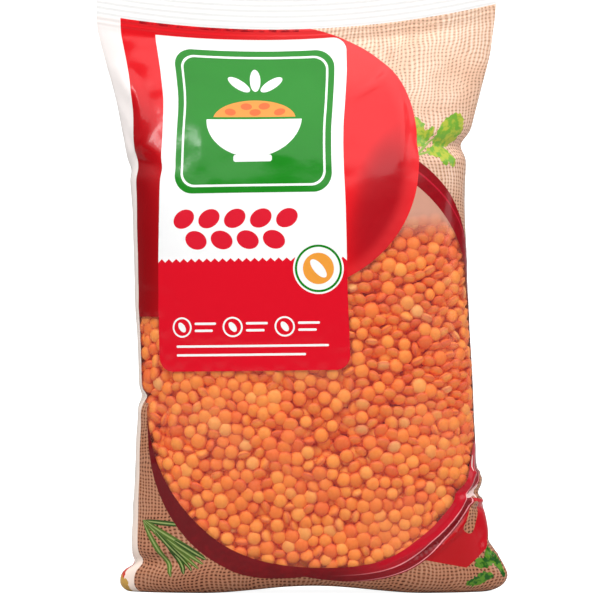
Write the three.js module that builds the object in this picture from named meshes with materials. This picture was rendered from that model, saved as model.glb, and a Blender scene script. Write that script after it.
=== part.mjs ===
// A sealed pillow bag of lentils, standing on its folded bottom.
// Units are millimetres. +Z is up, the front faces -Y, and the origin is on the floor under the
// middle of the bag. The film is one tube: a fin seal runs down the middle of the back, a crimped
// seal closes the top, and the bottom seal lies folded flat under the base.
import * as THREE from "three";

// How finely the skin is divided
const LEFT_COLUMNS = 20;
const RIGHT_COLUMNS = 18;
const BODY_ROWS = 46;
const BASE_ROWS = 5;
const SEAL_ROWS = 3;
const BASE_SHARES = [0.1, 0.245, 0.295, 0.5, 0.705, 0.755, 0.9];
const FINE_STEPS = 240;

// Heights that drive the shape
const BASE_ROUNDING = 9;
const SEAL_START = 199;
const BAG_TOP = 214;

// The filled bag at a few heights: where its left and right sides are, how far it bulges in front
// and behind, and how square its outline is seen from above: 1.3 is an eye shape, 2 an ellipse.
const STATIONS = [
  { height: 0, left: -59.5, right: 64.4, front: 18.4, back: 17.8, square: 2.6 },
  { height: 20, left: -59.4, right: 64.5, front: 19.4, back: 18.8, square: 2.6 },
  { height: 45, left: -58.2, right: 61.1, front: 22.4, back: 21.8, square: 2.6 },
  { height: 75, left: -57.2, right: 59.6, front: 23.9, back: 23.2, square: 2.6 },
  { height: 105, left: -58.5, right: 58.0, front: 23.8, back: 23.2, square: 2.5 },
  { height: 135, left: -59.4, right: 57.0, front: 22.4, back: 21.8, square: 2.4 },
  { height: 150, left: -61.0, right: 57.5, front: 19.6, back: 18.8, square: 2.2 },
  { height: 162, left: -63.1, right: 59.4, front: 15.8, back: 15.0, square: 2.0 },
  { height: 174, left: -65.4, right: 62.5, front: 11.2, back: 10.6, square: 1.8 },
  { height: 186, left: -68.6, right: 65.7, front: 6.4, back: 6.0, square: 1.6 },
  { height: 195, left: -70.9, right: 67.0, front: 2.6, back: 2.4, square: 1.4 },
  { height: SEAL_START, left: -71.7, right: 67.5, front: 0.0, back: 0.0, square: 1.3 },
  { height: BAG_TOP, left: -72.0, right: 68.6, front: 0.0, back: 0.0, square: 1.3 },
];

// Half the thickness of the seal, where the two layers of film lie on each other, and how quickly
// that thickness comes in from the bag's two side edges
const FILM_HALF = 0.45;
const EDGE_SHARPNESS = 12;

// Base: how far the front and back, and the two sides, pull in where they meet the floor
const BASE_PULL_DEPTH = 6.5;
const BASE_PULL_SIDE = 2.0;
const SIDE_ROUNDING = 3.2;
const ARCH = { rise: 2.6, middle: 4, reach: 40, fade: 26 };
const FLAP = { near: 0.27, far: 0.73, edge: 0.05, recess: 0.9, proud: 0.7, end: 36, fade: 6 };

// The top edge sags in its middle, and its right corner stands higher than its left
const TOP_SAG = 7.0;
const TOP_TILT = 1.8;
const SAG_START = 150;
const SEAL_WAVE = { size: 1.1, length: 23, phase: 0.8, start: 176 };

// Dog-ears of folded film at the two bottom corners
const LEFT_EAR = { reach: 4.2, middle: 3.4, above: 5.8, below: 4.6, fall: 2.5, thick: 6.0 };
const RIGHT_EAR = { reach: 7.5, middle: 6.0, above: 12.5, below: 6.2, fall: 1.2, thick: 6.5 };

// Places where a side is pinched in, or bulges out where its number is negative
const PINCHES = [
  { side: "left", height: 68.3, inward: 1.3, spread: 2.6 },
  { side: "left", height: 147.5, inward: 0.9, spread: 2.6 },
  { side: "left", height: 10.6, inward: 0.9, spread: 1.6 },
  { side: "right", height: 156.0, inward: 2.7, spread: 3.4 },
  { side: "right", height: 39.6, inward: -1.0, spread: 2.6 },
  { side: "right", height: 34.8, inward: 1.4, spread: 1.7 },
];

// Fin seal down the back, folded flat to one side of the middle
const FIN = { from: -1.0, to: 9.5, proud: 0.7, edge: 1.6, fade: 4 };

// Creases in the film. Each runs from a start past a bend to an end, given as [across, up], and
// stands proud by its height, or is sunk where that is negative.
// None shows until the two faces are about LOOSE_DEPTH away from the bag's middle plane.
const CREASE_STEPS = 16;
const LOOSE_DEPTH = 2.5;
const FRONT_CREASES = [
  { start: [-64, 182], bend: [-53, 168], end: [-57.5, 154], height: 1.5, width: 2.6 },
  { start: [-61, 150], bend: [-55, 151], end: [-50, 148], height: -1.3, width: 2.8 },
  { start: [58.5, 44], bend: [58, 20], end: [24, 7], height: 1.2, width: 2.4 },
  { start: [62, 36], bend: [60, 13], end: [30, 4], height: -0.9, width: 2.6 },
  { start: [-60, 12.5], bend: [-50, 10.5], end: [-40, 13], height: -1.2, width: 2.6 },
  { start: [58, 157], bend: [48, 153], end: [40, 160], height: -1.1, width: 3.2 },
  { start: [34.5, 198], bend: [33, 190], end: [36, 178], height: 1.3, width: 2.8 },
  { start: [28.5, 197], bend: [28, 188], end: [25, 176], height: -1.1, width: 2.8 },
  { start: [33, 176], bend: [36, 160], end: [31, 142], height: 0.8, width: 5.5 },
  { start: [-50, 192], bend: [-44, 176], end: [-48, 160], height: -0.7, width: 5.0 },
  { start: [-6, 12], bend: [-8, 7], end: [-7, 1], height: -0.9, width: 2.2 },
  { start: [-57, 68], bend: [-50, 67], end: [-43, 70], height: -0.7, width: 2.6 },
  { start: [4, 196], bend: [2, 186], end: [8, 172], height: -0.8, width: 4.5 },
];
const BACK_CREASES = [
  { start: [-62, 184], bend: [-50, 170], end: [-54, 150], height: 1.4, width: 3.0 },
  { start: [61, 182], bend: [47, 168], end: [52, 150], height: 1.4, width: 3.0 },
  { start: [-58, 30], bend: [-48, 16], end: [-26, 7], height: 1.1, width: 2.8 },
  { start: [60, 34], bend: [50, 16], end: [28, 8], height: 1.2, width: 2.8 },
  { start: [-30, 194], bend: [-27, 182], end: [-31, 166], height: -1.0, width: 4.0 },
  { start: [26, 194], bend: [29, 182], end: [24, 168], height: -1.0, width: 4.0 },
  { start: [56, 110], bend: [44, 106], end: [34, 112], height: -0.9, width: 3.2 },
  { start: [-56, 84], bend: [-46, 88], end: [-36, 82], height: -0.8, width: 3.2 },
];

const clamp01 = (value) => Math.min(1, Math.max(0, value));
const smooth = (value) => clamp01(value) ** 2 * (3 - 2 * clamp01(value));
const bell = (distance, width) => Math.exp(-((distance / width) ** 2));

// The bag's outline at a height, read from the stations along a smooth curve
function shapeAt(height) {
  const last = STATIONS.length - 1;
  let lower = 0;
  while (lower < last - 1 && STATIONS[lower + 1].height < height) lower += 1;
  const [a, b] = [STATIONS[lower], STATIONS[lower + 1]];
  const before = STATIONS[Math.max(0, lower - 1)];
  const after = STATIONS[Math.min(last, lower + 2)];
  const span = b.height - a.height;
  const t = clamp01((height - a.height) / span);
  const shape = {};
  for (const key of ["left", "right", "front", "back", "square"]) {
    const slopeA = (b[key] - before[key]) / (b.height - before.height);
    const slopeB = (after[key] - a[key]) / (after.height - a.height);
    shape[key] =
      a[key] * (1 + 2 * t) * (1 - t) ** 2 +
      b[key] * (3 - 2 * t) * t ** 2 +
      span * t * (1 - t) * (slopeA * (1 - t) - slopeB * t);
  }
  for (const pinch of PINCHES) {
    const inward = pinch.inward * bell(height - pinch.height, pinch.spread);
    shape[pinch.side] += pinch.side === "left" ? inward : -inward;
  }
  const pull = (rounding) => 1 - Math.sqrt(1 - clamp01(1 - height / rounding) ** 2);
  shape.left += BASE_PULL_SIDE * pull(SIDE_ROUNDING);
  shape.right -= BASE_PULL_SIDE * pull(SIDE_ROUNDING);
  shape.front = Math.max(0, shape.front - BASE_PULL_DEPTH * pull(BASE_ROUNDING));
  shape.back = Math.max(0, shape.back - BASE_PULL_DEPTH * pull(BASE_ROUNDING));
  return shape;
}

// How far a dog-ear reaches out of the side at a height
function earReach(ear, height) {
  const away = height - ear.middle;
  if (away < 0) return ear.reach * Math.sqrt(1 - clamp01(-away / ear.below) ** 2);
  return ear.reach * (1 - clamp01(away / ear.above) ** ear.fall);
}

// One half of the outline at a height, as points from the left side to the right
function halfOutline(height, facing) {
  const shape = shapeAt(height);
  const middle = (shape.left + shape.right) / 2;
  const halfWidth = (shape.right - shape.left) / 2;
  const depth = facing < 0 ? shape.front : shape.back;
  const fine = [];
  for (let step = 0; step <= FINE_STEPS; step += 1) {
    const angle = (Math.PI * step) / FINE_STEPS;
    const across = -Math.sign(Math.cos(angle)) * Math.abs(Math.cos(angle)) ** (2 / shape.square);
    const bulge = Math.sin(angle) ** (2 / shape.square) * depth;
    const edge = FILM_HALF * Math.min(1, Math.sin(angle) * EDGE_SHARPNESS);
    const ear = across < 0 ? LEFT_EAR : RIGHT_EAR;
    const out = earReach(ear, height) * bell(bulge, ear.thick) * Math.abs(across) ** 6;
    fine.push([middle + across * halfWidth + Math.sign(across) * out, facing * (bulge + edge)]);
  }
  return pickColumns(fine);
}

// Where the columns stand along a half outline, measured from its middle: close together at the
// two edges of the fin seal, and in equal steps from there out to the sides
function columnRuns(total) {
  const fin = [FIN.from - FIN.edge / 2, FIN.from + FIN.edge / 2, (FIN.from + FIN.to) / 2];
  fin.push(FIN.to - FIN.edge / 2, FIN.to + FIN.edge / 2);
  const runs = [];
  for (let i = 0; i < LEFT_COLUMNS; i += 1) {
    runs.push(-total / 2 + ((fin[0] + total / 2) * i) / LEFT_COLUMNS);
  }
  runs.push(...fin);
  for (let i = 1; i <= RIGHT_COLUMNS; i += 1) {
    runs.push(fin[4] + ((total / 2 - fin[4]) * i) / RIGHT_COLUMNS);
  }
  return runs;
}

// Picks the columns' points along a half outline of many points
function pickColumns(line) {
  const along = [0];
  for (let i = 1; i < line.length; i += 1) {
    const [dx, dy] = [line[i][0] - line[i - 1][0], line[i][1] - line[i - 1][1]];
    along.push(along[i - 1] + Math.hypot(dx, dy));
  }
  const total = along[along.length - 1];
  let i = 1;
  return columnRuns(total).map((run) => {
    const target = run + total / 2;
    while (i < line.length - 1 && along[i] < target) i += 1;
    const t = clamp01((target - along[i - 1]) / (along[i] - along[i - 1]));
    const x = line[i - 1][0] + t * (line[i][0] - line[i - 1][0]);
    const y = line[i - 1][1] + t * (line[i][1] - line[i - 1][1]);
    return { x, y, run };
  });
}

// Points along each crease
function tracedCreases(creases) {
  return creases.map((crease) => {
    const corners = [crease.start, crease.bend, crease.end].map((at) => new THREE.Vector2(...at));
    const points = new THREE.QuadraticBezierCurve(...corners).getPoints(CREASE_STEPS);
    return { points, height: crease.height, width: crease.width };
  });
}
const FRONT_LINES = tracedCreases(FRONT_CREASES);
const BACK_LINES = tracedCreases(BACK_CREASES);

// How far the creases lift the film at a place, fading out towards each crease's two ends
function creaseLift(lines, x, z) {
  let lift = 0;
  for (const line of lines) {
    const distances = line.points.map((point) => Math.hypot(point.x - x, point.y - z));
    const nearest = Math.min(...distances);
    const share = distances.indexOf(nearest) / CREASE_STEPS;
    lift += line.height * bell(nearest, line.width) * (0.35 + 0.65 * Math.sin(Math.PI * share));
  }
  return lift;
}

// Rise of the base's middle off the floor
function archRise(x) {
  const away = (x - ARCH.middle) / ARCH.reach;
  return Math.abs(away) < 1 ? ARCH.rise * Math.cos((Math.PI / 2) * away) ** 2 : 0;
}

// Moves a point of a flat row up or down, as the top edge sags and the base arches
function rowHeight(x, height) {
  const shape = shapeAt(height);
  const across = (2 * x - shape.left - shape.right) / (shape.right - shape.left);
  const top = smooth((height - SAG_START) / (SEAL_START - SAG_START));
  const sag = TOP_TILT * across - TOP_SAG * (1 - across ** 2);
  return height + top * sag + archRise(x) * smooth(1 - height / ARCH.fade);
}

// A closed ring of points at a height: the front from left to right, then the back
function ringAt(height) {
  const ring = [];
  for (const facing of [-1, 1]) {
    const half = halfOutline(height, facing);
    const creases = facing < 0 ? FRONT_LINES : BACK_LINES;
    const points = half.map((point, i) => {
      const [before, after] = [half[Math.max(0, i - 1)], half[Math.min(half.length - 1, i + 1)]];
      const outward = new THREE.Vector2(before.y - after.y, after.x - before.x);
      outward.normalize().multiplyScalar(facing);
      const z = rowHeight(point.x, height);
      const loose = smooth((Math.abs(point.y) - FILM_HALF) / LOOSE_DEPTH);
      let lift = creaseLift(creases, point.x, z);
      if (facing > 0) {
        const finEdge = Math.min(point.run - FIN.from, FIN.to - point.run) / FIN.edge + 0.5;
        lift += FIN.proud * smooth(finEdge) * smooth(height / FIN.fade);
      }
      const wave = SEAL_WAVE.size * Math.sin(point.x / SEAL_WAVE.length + SEAL_WAVE.phase);
      const swing = wave * smooth((height - SEAL_WAVE.start) / (BAG_TOP - SEAL_WAVE.start));
      return [
        point.x + outward.x * lift * loose,
        point.y + outward.y * lift * loose + swing,
        z,
      ];
    });
    if (facing < 0) ring.push(...points.slice(0, -1));
    else ring.push(...points.reverse().slice(0, -1));
  }
  return ring;
}

// Heights of the rows: close together round the base and at the seal, wider on the body
function rowHeights() {
  const heights = [0];
  for (let row = 1; row <= BASE_ROWS; row += 1) {
    heights.push(BASE_ROUNDING * (1 - Math.cos((Math.PI / 2) * (row / BASE_ROWS))));
  }
  for (let row = 1; row <= BODY_ROWS; row += 1) {
    heights.push(BASE_ROUNDING + ((SEAL_START - BASE_ROUNDING) * row) / BODY_ROWS);
  }
  for (let row = 1; row <= SEAL_ROWS; row += 1) {
    heights.push(SEAL_START + ((BAG_TOP - SEAL_START) * row) / SEAL_ROWS);
  }
  return heights;
}

// The base between the front and back rims: flat at its two ends, and in its middle raised, with
// the folded bottom seal lying across it as a flap
function baseHeight(x, share) {
  const inside = smooth(Math.min(share, 1 - share) * 4);
  const middle = smooth((FLAP.end - Math.abs(x - ARCH.middle)) / FLAP.fade);
  const flapEdge = Math.min(share - FLAP.near, FLAP.far - share) / FLAP.edge + 0.5;
  return archRise(x) + inside * middle * (FLAP.recess - FLAP.proud * smooth(flapEdge));
}

function bagGeometry() {
  const rings = rowHeights().map(ringAt);
  const columns = columnRuns(0).length - 1;
  const around = 2 * columns;
  const positions = rings.flat(2);
  const index = [];
  const quad = (a, b, c, d) => index.push(a, b, c, a, c, d);

  for (let row = 0; row < rings.length - 1; row += 1) {
    for (let i = 0; i < around; i += 1) {
      const next = (i + 1) % around;
      quad(row * around + i, row * around + next, (row + 1) * around + next, (row + 1) * around + i);
    }
  }

  // Strips across the base join each front point to the back point behind it
  const behind = (i) => (around - i) % around;
  const rim = rings[0];
  const strips = [];
  for (let i = 0; i <= columns; i += 1) {
    const strip = [i];
    const pointed = i === 0 || i === columns;
    for (const share of pointed ? [] : BASE_SHARES) {
      const [front, back] = [rim[i], rim[behind(i)]];
      const x = front[0] + share * (back[0] - front[0]);
      const y = front[1] + share * (back[1] - front[1]);
      strip.push(positions.length / 3);
      positions.push(x, y, baseHeight(x, share));
    }
    if (!pointed) strip.push(behind(i));
    strips.push(strip);
  }
  for (let i = 0; i < columns; i += 1) {
    const [here, next] = [strips[i], strips[i + 1]];
    for (let step = 0; step <= BASE_SHARES.length; step += 1) {
      if (here.length === 1) index.push(here[0], next[step + 1], next[step]);
      else if (next.length === 1) index.push(here[step], here[step + 1], next[0]);
      else quad(here[step], here[step + 1], next[step + 1], next[step]);
    }
  }

  // The cut edge along the top seal
  const top = (rings.length - 1) * around;
  index.push(top, top + 1, top + behind(1));
  for (let i = 1; i < columns - 1; i += 1) {
    quad(top + i, top + i + 1, top + behind(i + 1), top + behind(i));
  }
  index.push(top + columns - 1, top + columns, top + behind(columns - 1));

  const geometry = new THREE.BufferGeometry();
  geometry.setAttribute("position", new THREE.Float32BufferAttribute(positions, 3));
  geometry.setIndex(index);
  geometry.computeVertexNormals();
  return geometry;
}

const film = new THREE.MeshStandardMaterial({ color: 0xdc3f3c, roughness: 0.32, metalness: 0 });
const bag = new THREE.Mesh(bagGeometry(), film);
bag.name = "bag";

const model = new THREE.Group();
model.add(bag);
export default model;
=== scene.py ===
# %% [markdown]
# A sealed bag of lentils, standing on its folded bottom. The real bag is one tube of printed
# film: a fin seal closes it down the back, a flat seal closes the top, and the bottom seal lies
# folded under the base. The print has a clear window, and the lentils press against it.
# The CAD solid gives the filled bag's size and form. Here it is replaced by the film itself,
# with its finer creases, by the lentils behind the window, and by a core that stands for the
# lentils that nobody sees.

# %% Load the frame
import math

import bpy
import numpy as np
from mathutils import Matrix, Vector, noise


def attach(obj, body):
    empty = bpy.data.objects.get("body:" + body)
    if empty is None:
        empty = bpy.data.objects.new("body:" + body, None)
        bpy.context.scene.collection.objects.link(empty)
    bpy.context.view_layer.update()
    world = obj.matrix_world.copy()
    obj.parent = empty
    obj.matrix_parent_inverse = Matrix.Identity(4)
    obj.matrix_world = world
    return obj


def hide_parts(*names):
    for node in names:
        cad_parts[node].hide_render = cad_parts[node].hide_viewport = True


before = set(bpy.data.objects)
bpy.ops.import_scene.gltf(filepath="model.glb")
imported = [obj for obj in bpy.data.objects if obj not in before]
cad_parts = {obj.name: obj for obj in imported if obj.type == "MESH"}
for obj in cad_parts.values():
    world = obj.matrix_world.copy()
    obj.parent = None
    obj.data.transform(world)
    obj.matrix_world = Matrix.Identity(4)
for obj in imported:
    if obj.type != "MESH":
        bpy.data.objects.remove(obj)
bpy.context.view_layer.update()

MM = 0.001

# %% [markdown]
# Blender's operators act on what is selected, and the CAD nodes come in selected, so a small
# helper clears the selection first. Sizes below are in millimetres, as on a drawing of the bag,
# and are turned into metres only when vertices get their places.


# %% Small helpers
def deselect():
    if bpy.context.object and bpy.context.object.mode != "OBJECT":
        bpy.ops.object.mode_set(mode="OBJECT")
    bpy.ops.object.select_all(action="DESELECT")


def new_piece(name):
    piece = bpy.context.object
    piece.name = name
    piece.data.name = name
    return piece


def smooth(value):
    value = np.clip(value, 0, 1)
    return value * value * (3 - 2 * value)


def bell(distance, width):
    return np.exp(-((distance / width) ** 2))


def places_of(mesh):
    flat = np.empty(len(mesh.vertices) * 3)
    mesh.vertices.foreach_get("co", flat)
    return flat.reshape(-1, 3)


def set_places(mesh, places):
    mesh.vertices.foreach_set("co", np.ascontiguousarray(places, dtype=np.float32).ravel())
    mesh.update()


# %% [markdown]
# The form of a filled bag follows from its film, which doesn't stretch: where the bag is deep it
# gets narrow, and where it runs flat into the seal it gets wide. So the form is given as a few
# outlines at known heights, with a smooth curve between them, the same ones as the CAD solid's.
# Each row is a height, the places of the left and right sides, how far the bag bulges in front
# and behind, and how square the outline is seen from above.

# %% The filled form
SEAL_START = 199.0
BAG_TOP = 214.0
STATIONS = np.array([
    (0, -59.5, 64.4, 18.4, 17.8, 2.6),
    (20, -59.4, 64.5, 19.4, 18.8, 2.6),
    (45, -58.2, 61.1, 22.4, 21.8, 2.6),
    (75, -57.2, 59.6, 23.9, 23.2, 2.6),
    (105, -58.5, 58.0, 23.8, 23.2, 2.5),
    (135, -59.4, 57.0, 22.4, 21.8, 2.4),
    (150, -61.0, 57.5, 19.6, 18.8, 2.2),
    (162, -63.1, 59.4, 15.8, 15.0, 2.0),
    (174, -65.4, 62.5, 11.2, 10.6, 1.8),
    (186, -68.6, 65.7, 6.4, 6.0, 1.6),
    (195, -70.9, 67.0, 2.6, 2.4, 1.4),
    (SEAL_START, -71.7, 67.5, 0.0, 0.0, 1.3),
    (BAG_TOP, -72.0, 68.6, 0.0, 0.0, 1.3),
])
FILM_HALF = 0.14

# Side, height, how far inward, and over what height: a negative one bulges out
PINCHES = [
    ("left", 68.3, 1.3, 2.6), ("left", 147.5, 0.9, 2.6), ("left", 10.6, 0.9, 1.6),
    ("right", 156.0, 2.7, 3.4), ("right", 39.6, -1.0, 2.6), ("right", 34.8, 1.4, 1.7),
]
# A pinch grows from this share of the half width, over the rest of it
PINCH_START, PINCH_RISE = 0.6, 0.4
BASE_ROUNDING = 9.0
BASE_PULL_DEPTH = 6.5
BASE_PULL_SIDE = 2.0
SIDE_ROUNDING = 3.2


def shape_at(height, pinched=True):
    """Left, right, front, back and squareness of the outline at each height."""
    heights = STATIONS[:, 0]
    last = len(heights) - 1
    lower = np.clip(np.searchsorted(heights, height, side="left") - 1, 0, last - 1)
    a, b = STATIONS[lower], STATIONS[lower + 1]
    before, after = STATIONS[np.maximum(lower - 1, 0)], STATIONS[np.minimum(lower + 2, last)]
    span = b[..., :1] - a[..., :1]
    t = np.clip((height[..., None] - a[..., :1]) / span, 0, 1)
    slope_a = (b - before) / (b[..., :1] - before[..., :1])
    slope_b = (after - a) / (after[..., :1] - a[..., :1])
    shape = a * (1 + 2 * t) * (1 - t) ** 2 + b * (3 - 2 * t) * t ** 2
    shape = shape + span * t * (1 - t) * (slope_a * (1 - t) - slope_b * t)
    left, right, front, back, square = [shape[..., i].copy() for i in range(1, 6)]
    for side, at, inward, spread in PINCHES if pinched else ():
        if side == "left":
            left += inward * bell(height - at, spread)
        else:
            right -= inward * bell(height - at, spread)

    def pull(rounding):
        return 1 - np.sqrt(1 - np.clip(1 - height / rounding, 0, 1) ** 2)

    left += BASE_PULL_SIDE * pull(SIDE_ROUNDING)
    right -= BASE_PULL_SIDE * pull(SIDE_ROUNDING)
    front = np.maximum(0, front - BASE_PULL_DEPTH * pull(BASE_ROUNDING))
    back = np.maximum(0, back - BASE_PULL_DEPTH * pull(BASE_ROUNDING))
    return left, right, front, back, square


# %% [markdown]
# Two corners of the folded bottom stick out as dog-ears. The rows of the film also aren't level:
# the top edge hangs in its middle, because the full bag pulls it down there, and the middle of
# the base is arched a little off the floor.

# %% Dog-ears, sag and arch
LEFT_EAR = {"reach": 4.2, "middle": 3.4, "above": 5.8, "below": 4.6, "fall": 2.5, "thick": 6.0}
RIGHT_EAR = {"reach": 7.5, "middle": 6.0, "above": 12.5, "below": 6.2, "fall": 1.2, "thick": 6.5}
TOP_SAG = 7.0
TOP_TILT = 1.8
SAG_START = 150.0
ARCH = {"rise": 2.6, "middle": 4.0, "reach": 40.0, "fade": 26.0}
SEAL_WAVE = {"size": 1.1, "length": 23.0, "phase": 0.8, "start": 176.0}
OUTLINE_POINTS = 481
EDGE_STEEPNESS = 12
EAR_SHARPNESS = 6


def ear_reach(ear, height):
    away = height - ear["middle"]
    low = np.sqrt(1 - np.clip(-away / ear["below"], 0, 1) ** 2)
    high = 1 - np.clip(away / ear["above"], 0, 1) ** ear["fall"]
    return ear["reach"] * np.where(away < 0, low, high)


def arch_rise(x):
    away = (x - ARCH["middle"]) / ARCH["reach"]
    return np.where(np.abs(away) < 1, ARCH["rise"] * np.cos(np.pi / 2 * away) ** 2, 0)


def row_height(x, height):
    left, right = shape_at(height)[:2]
    across = (2 * x - left - right) / (right - left)
    top = smooth((height - SAG_START) / (SEAL_START - SAG_START))
    sag = TOP_TILT * across - TOP_SAG * (1 - across ** 2)
    return height + top * sag + arch_rise(x) * smooth(1 - height / ARCH["fade"])


def half_outline(heights, facing, shares, inset=0.0):
    """Points of the front (facing -1) or back (1) half, in one row for each height.

    A pinch draws in only the film near its side, so the print in the middle stays straight.
    """
    left, right, front, back, square = shape_at(heights, pinched=False)
    drawn_in = np.subtract(shape_at(heights)[:2], (left, right))
    left, right = left + inset, right - inset
    depth = np.maximum((front if facing < 0 else back) - inset, 0)
    middle, half = ((left + right) / 2)[:, None], ((right - left) / 2)[:, None]
    angle = np.linspace(0, np.pi, OUTLINE_POINTS)[None, :]
    power = (2 / square)[:, None]
    across = -np.sign(np.cos(angle)) * np.abs(np.cos(angle)) ** power
    bulge = np.clip(np.sin(angle), 0, 1) ** power * depth[:, None]
    edge = FILM_HALF * np.minimum(1, np.sin(angle) * EDGE_STEEPNESS)
    out = [ear_reach(ear, heights)[:, None] * bell(bulge, ear["thick"])
           for ear in (LEFT_EAR, RIGHT_EAR)]
    out = np.where(across < 0, *out) * np.abs(across) ** EAR_SHARPNESS * (inset == 0)
    fine_x = middle + across * half + np.sign(across) * out
    pinch = np.where(across < 0, drawn_in[0][:, None], drawn_in[1][:, None])
    pinch = pinch * smooth((np.abs(across) - PINCH_START) / PINCH_RISE)
    fine_y = facing * (bulge + edge)
    steps = np.hypot(np.diff(fine_x, axis=1), np.diff(fine_y, axis=1))
    along = np.concatenate([np.zeros((len(heights), 1)), np.cumsum(steps, axis=1)], axis=1)
    along /= along[:, -1:]
    x = np.array([np.interp(shares, a, v) for a, v in zip(along, fine_x + pinch)])
    y = np.array([np.interp(shares, a, v) for a, v in zip(along, fine_y)])
    return x, y


# %% [markdown]
# Film creases where it is pinched, folded or bent, and the creases give it away as film. Each
# one is drawn as a few points across and up the bag, with a height, negative where it is
# sunk, and a width. A smooth curve runs through the points, and the film is lifted off its form
# by how near it is to that curve. The list starts with the large creases of the CAD solid.

# %% Creases of the front and back
FRONT_CREASES = [
    ([(-64, 182), (-56.5, 168), (-57.5, 154)], 1.5, 2.6),
    ([(-61, 150), (-55, 151), (-50, 148)], -1.3, 2.8),
    ([(-60, 12.5), (-50, 10.5), (-40, 13)], -1.2, 2.6),
    ([(58, 157), (48, 154), (40, 160)], -1.1, 3.2),
    ([(34.5, 198), (33, 190), (36, 178)], 1.3, 2.8),
    ([(28.5, 197), (28, 188), (25, 176)], -1.1, 2.8),
    ([(33, 176), (36, 160), (31, 142)], 0.8, 5.5),
    ([(-50, 192), (-44, 176), (-48, 160)], -0.7, 5.0),
    ([(-6, 12), (-8, 7), (-7, 1)], -0.9, 2.2),
    ([(-57, 68), (-50, 67), (-43, 70)], -0.7, 2.6),
    ([(4, 196), (2, 186), (8, 172)], -0.8, 4.5),
]
BACK_CREASES = [
    ([(-62, 184), (-53, 170), (-54, 150)], 1.4, 3.0),
    ([(61, 182), (50, 168), (52, 150)], 1.4, 3.0),
    ([(-58, 30), (-46, 17), (-26, 7)], 1.1, 2.8),
    ([(60, 34), (48, 18), (28, 8)], 1.2, 2.8),
    ([(-30, 194), (-28, 181), (-31, 166)], -1.0, 4.0),
    ([(26, 194), (28, 181), (24, 168)], -1.0, 4.0),
    ([(56, 110), (44, 107), (34, 112)], -0.9, 3.2),
    ([(-56, 84), (-46, 87), (-36, 82)], -0.8, 3.2),
]
# Two crisp folds run along the lower right of the window, with a groove between them
FOLD_RIDGE = [(59.8, 42), (58.8, 38.5), (57, 35), (55.3, 29.9), (52.3, 25.3), (47.3, 20.3),
              (40.2, 15.4), (34.3, 12.4), (25.8, 8.6)]
FOLD_STEP = (2.6, -2.2)
FINE_CREASES = [
    (FOLD_RIDGE, 1.0, 0.9),
    ([(x + FOLD_STEP[0] / 2, z + FOLD_STEP[1] / 2) for x, z in FOLD_RIDGE], -0.8, 1.0),
    ([(x + FOLD_STEP[0], z + FOLD_STEP[1]) for x, z in FOLD_RIDGE], 1.0, 0.9),
    ([(57.5, 43.5), (60.5, 41.5), (63, 42.5)], 0.8, 0.9),
    ([(56.5, 33.2), (60, 31.6), (64.5, 32.6)], 0.9, 1.1),
    ([(58, 30.4), (61.5, 29.6), (64.5, 30.2)], -0.7, 1.0),
    ([(63.9, 29), (64.4, 20), (63, 14)], 0.7, 0.9),
    ([(65, 14.5), (66.5, 12.6), (68.5, 13.2)], 0.7, 1.0),
    ([(-59.5, 181), (-56.8, 174), (-55.4, 167), (-55.2, 160), (-57.2, 154)], 0.8, 1.1),
    ([(-57.2, 154), (-54.8, 151.5), (-52.6, 150.4)], 0.7, 0.9),
    ([(-62.8, 165), (-60.5, 158), (-58, 153)], -0.6, 1.4),
    ([(-60, 198.5), (-48, 197.6), (-38, 195.8), (-20, 196.2), (0, 195)], 0.5, 0.8),
    ([(-54, 196), (-44, 195.6), (-30, 193.6), (-14, 194.4)], -0.4, 0.8),
    ([(1.5, 197.6), (3.2, 195.5), (5.2, 194)], -0.9, 1.0),
    ([(31.5, 199), (33.5, 196), (34, 186)], 0.7, 1.2),
    ([(38, 199), (38.5, 190), (41, 180)], -0.5, 1.6),
    ([(46, 200), (45, 190), (48, 178)], 0.4, 2.2),
    ([(54, 200), (55, 188), (53.5, 176)], -0.4, 2.0),
    ([(15.8, 171), (25.6, 177), (31.5, 183)], 1.0, 1.7),
    ([(31, 180), (34.4, 168), (34, 150)], 0.8, 1.6),
    ([(55.8, 156.6), (50, 155.6), (43, 158)], -0.6, 1.2),
    ([(55.5, 152), (50, 150), (44, 150.5)], 0.5, 1.4),
    ([(-58.5, 69.5), (-54, 68.4), (-50, 68.8)], -0.5, 1.1),
    ([(-60.5, 11), (-55, 12.2), (-50, 12.6), (-46, 11.6)], -0.7, 1.0),
    ([(-5.6, 9), (-6.6, 6), (-7.4, 3)], 0.6, 0.9),
    ([(2, 5), (4, 4), (6, 3.4)], -0.5, 1.0),
]
CREASE_REACH = 3      # a crease is worked out as far as three times its width
CREASE_END = 0.35     # the share of its height that is left at its ends


def curve_through(points, count=60):
    """Places at even steps along a smooth curve (Catmull-Rom) through the points."""
    points = np.array(points, float)
    ends = np.vstack([2 * points[0] - points[1], points, 2 * points[-1] - points[-2]])
    t = np.linspace(0, len(points) - 1 - 1e-9, count)
    i, f = np.floor(t).astype(int), (t % 1)[:, None]
    p0, p1, p2, p3 = ends[i], ends[i + 1], ends[i + 2], ends[i + 3]
    bend = 2 * p0 - 5 * p1 + 4 * p2 - p3 + f * (3 * (p1 - p2) + p3 - p0)
    return p1 + 0.5 * f * (p2 - p0 + f * bend)


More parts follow.
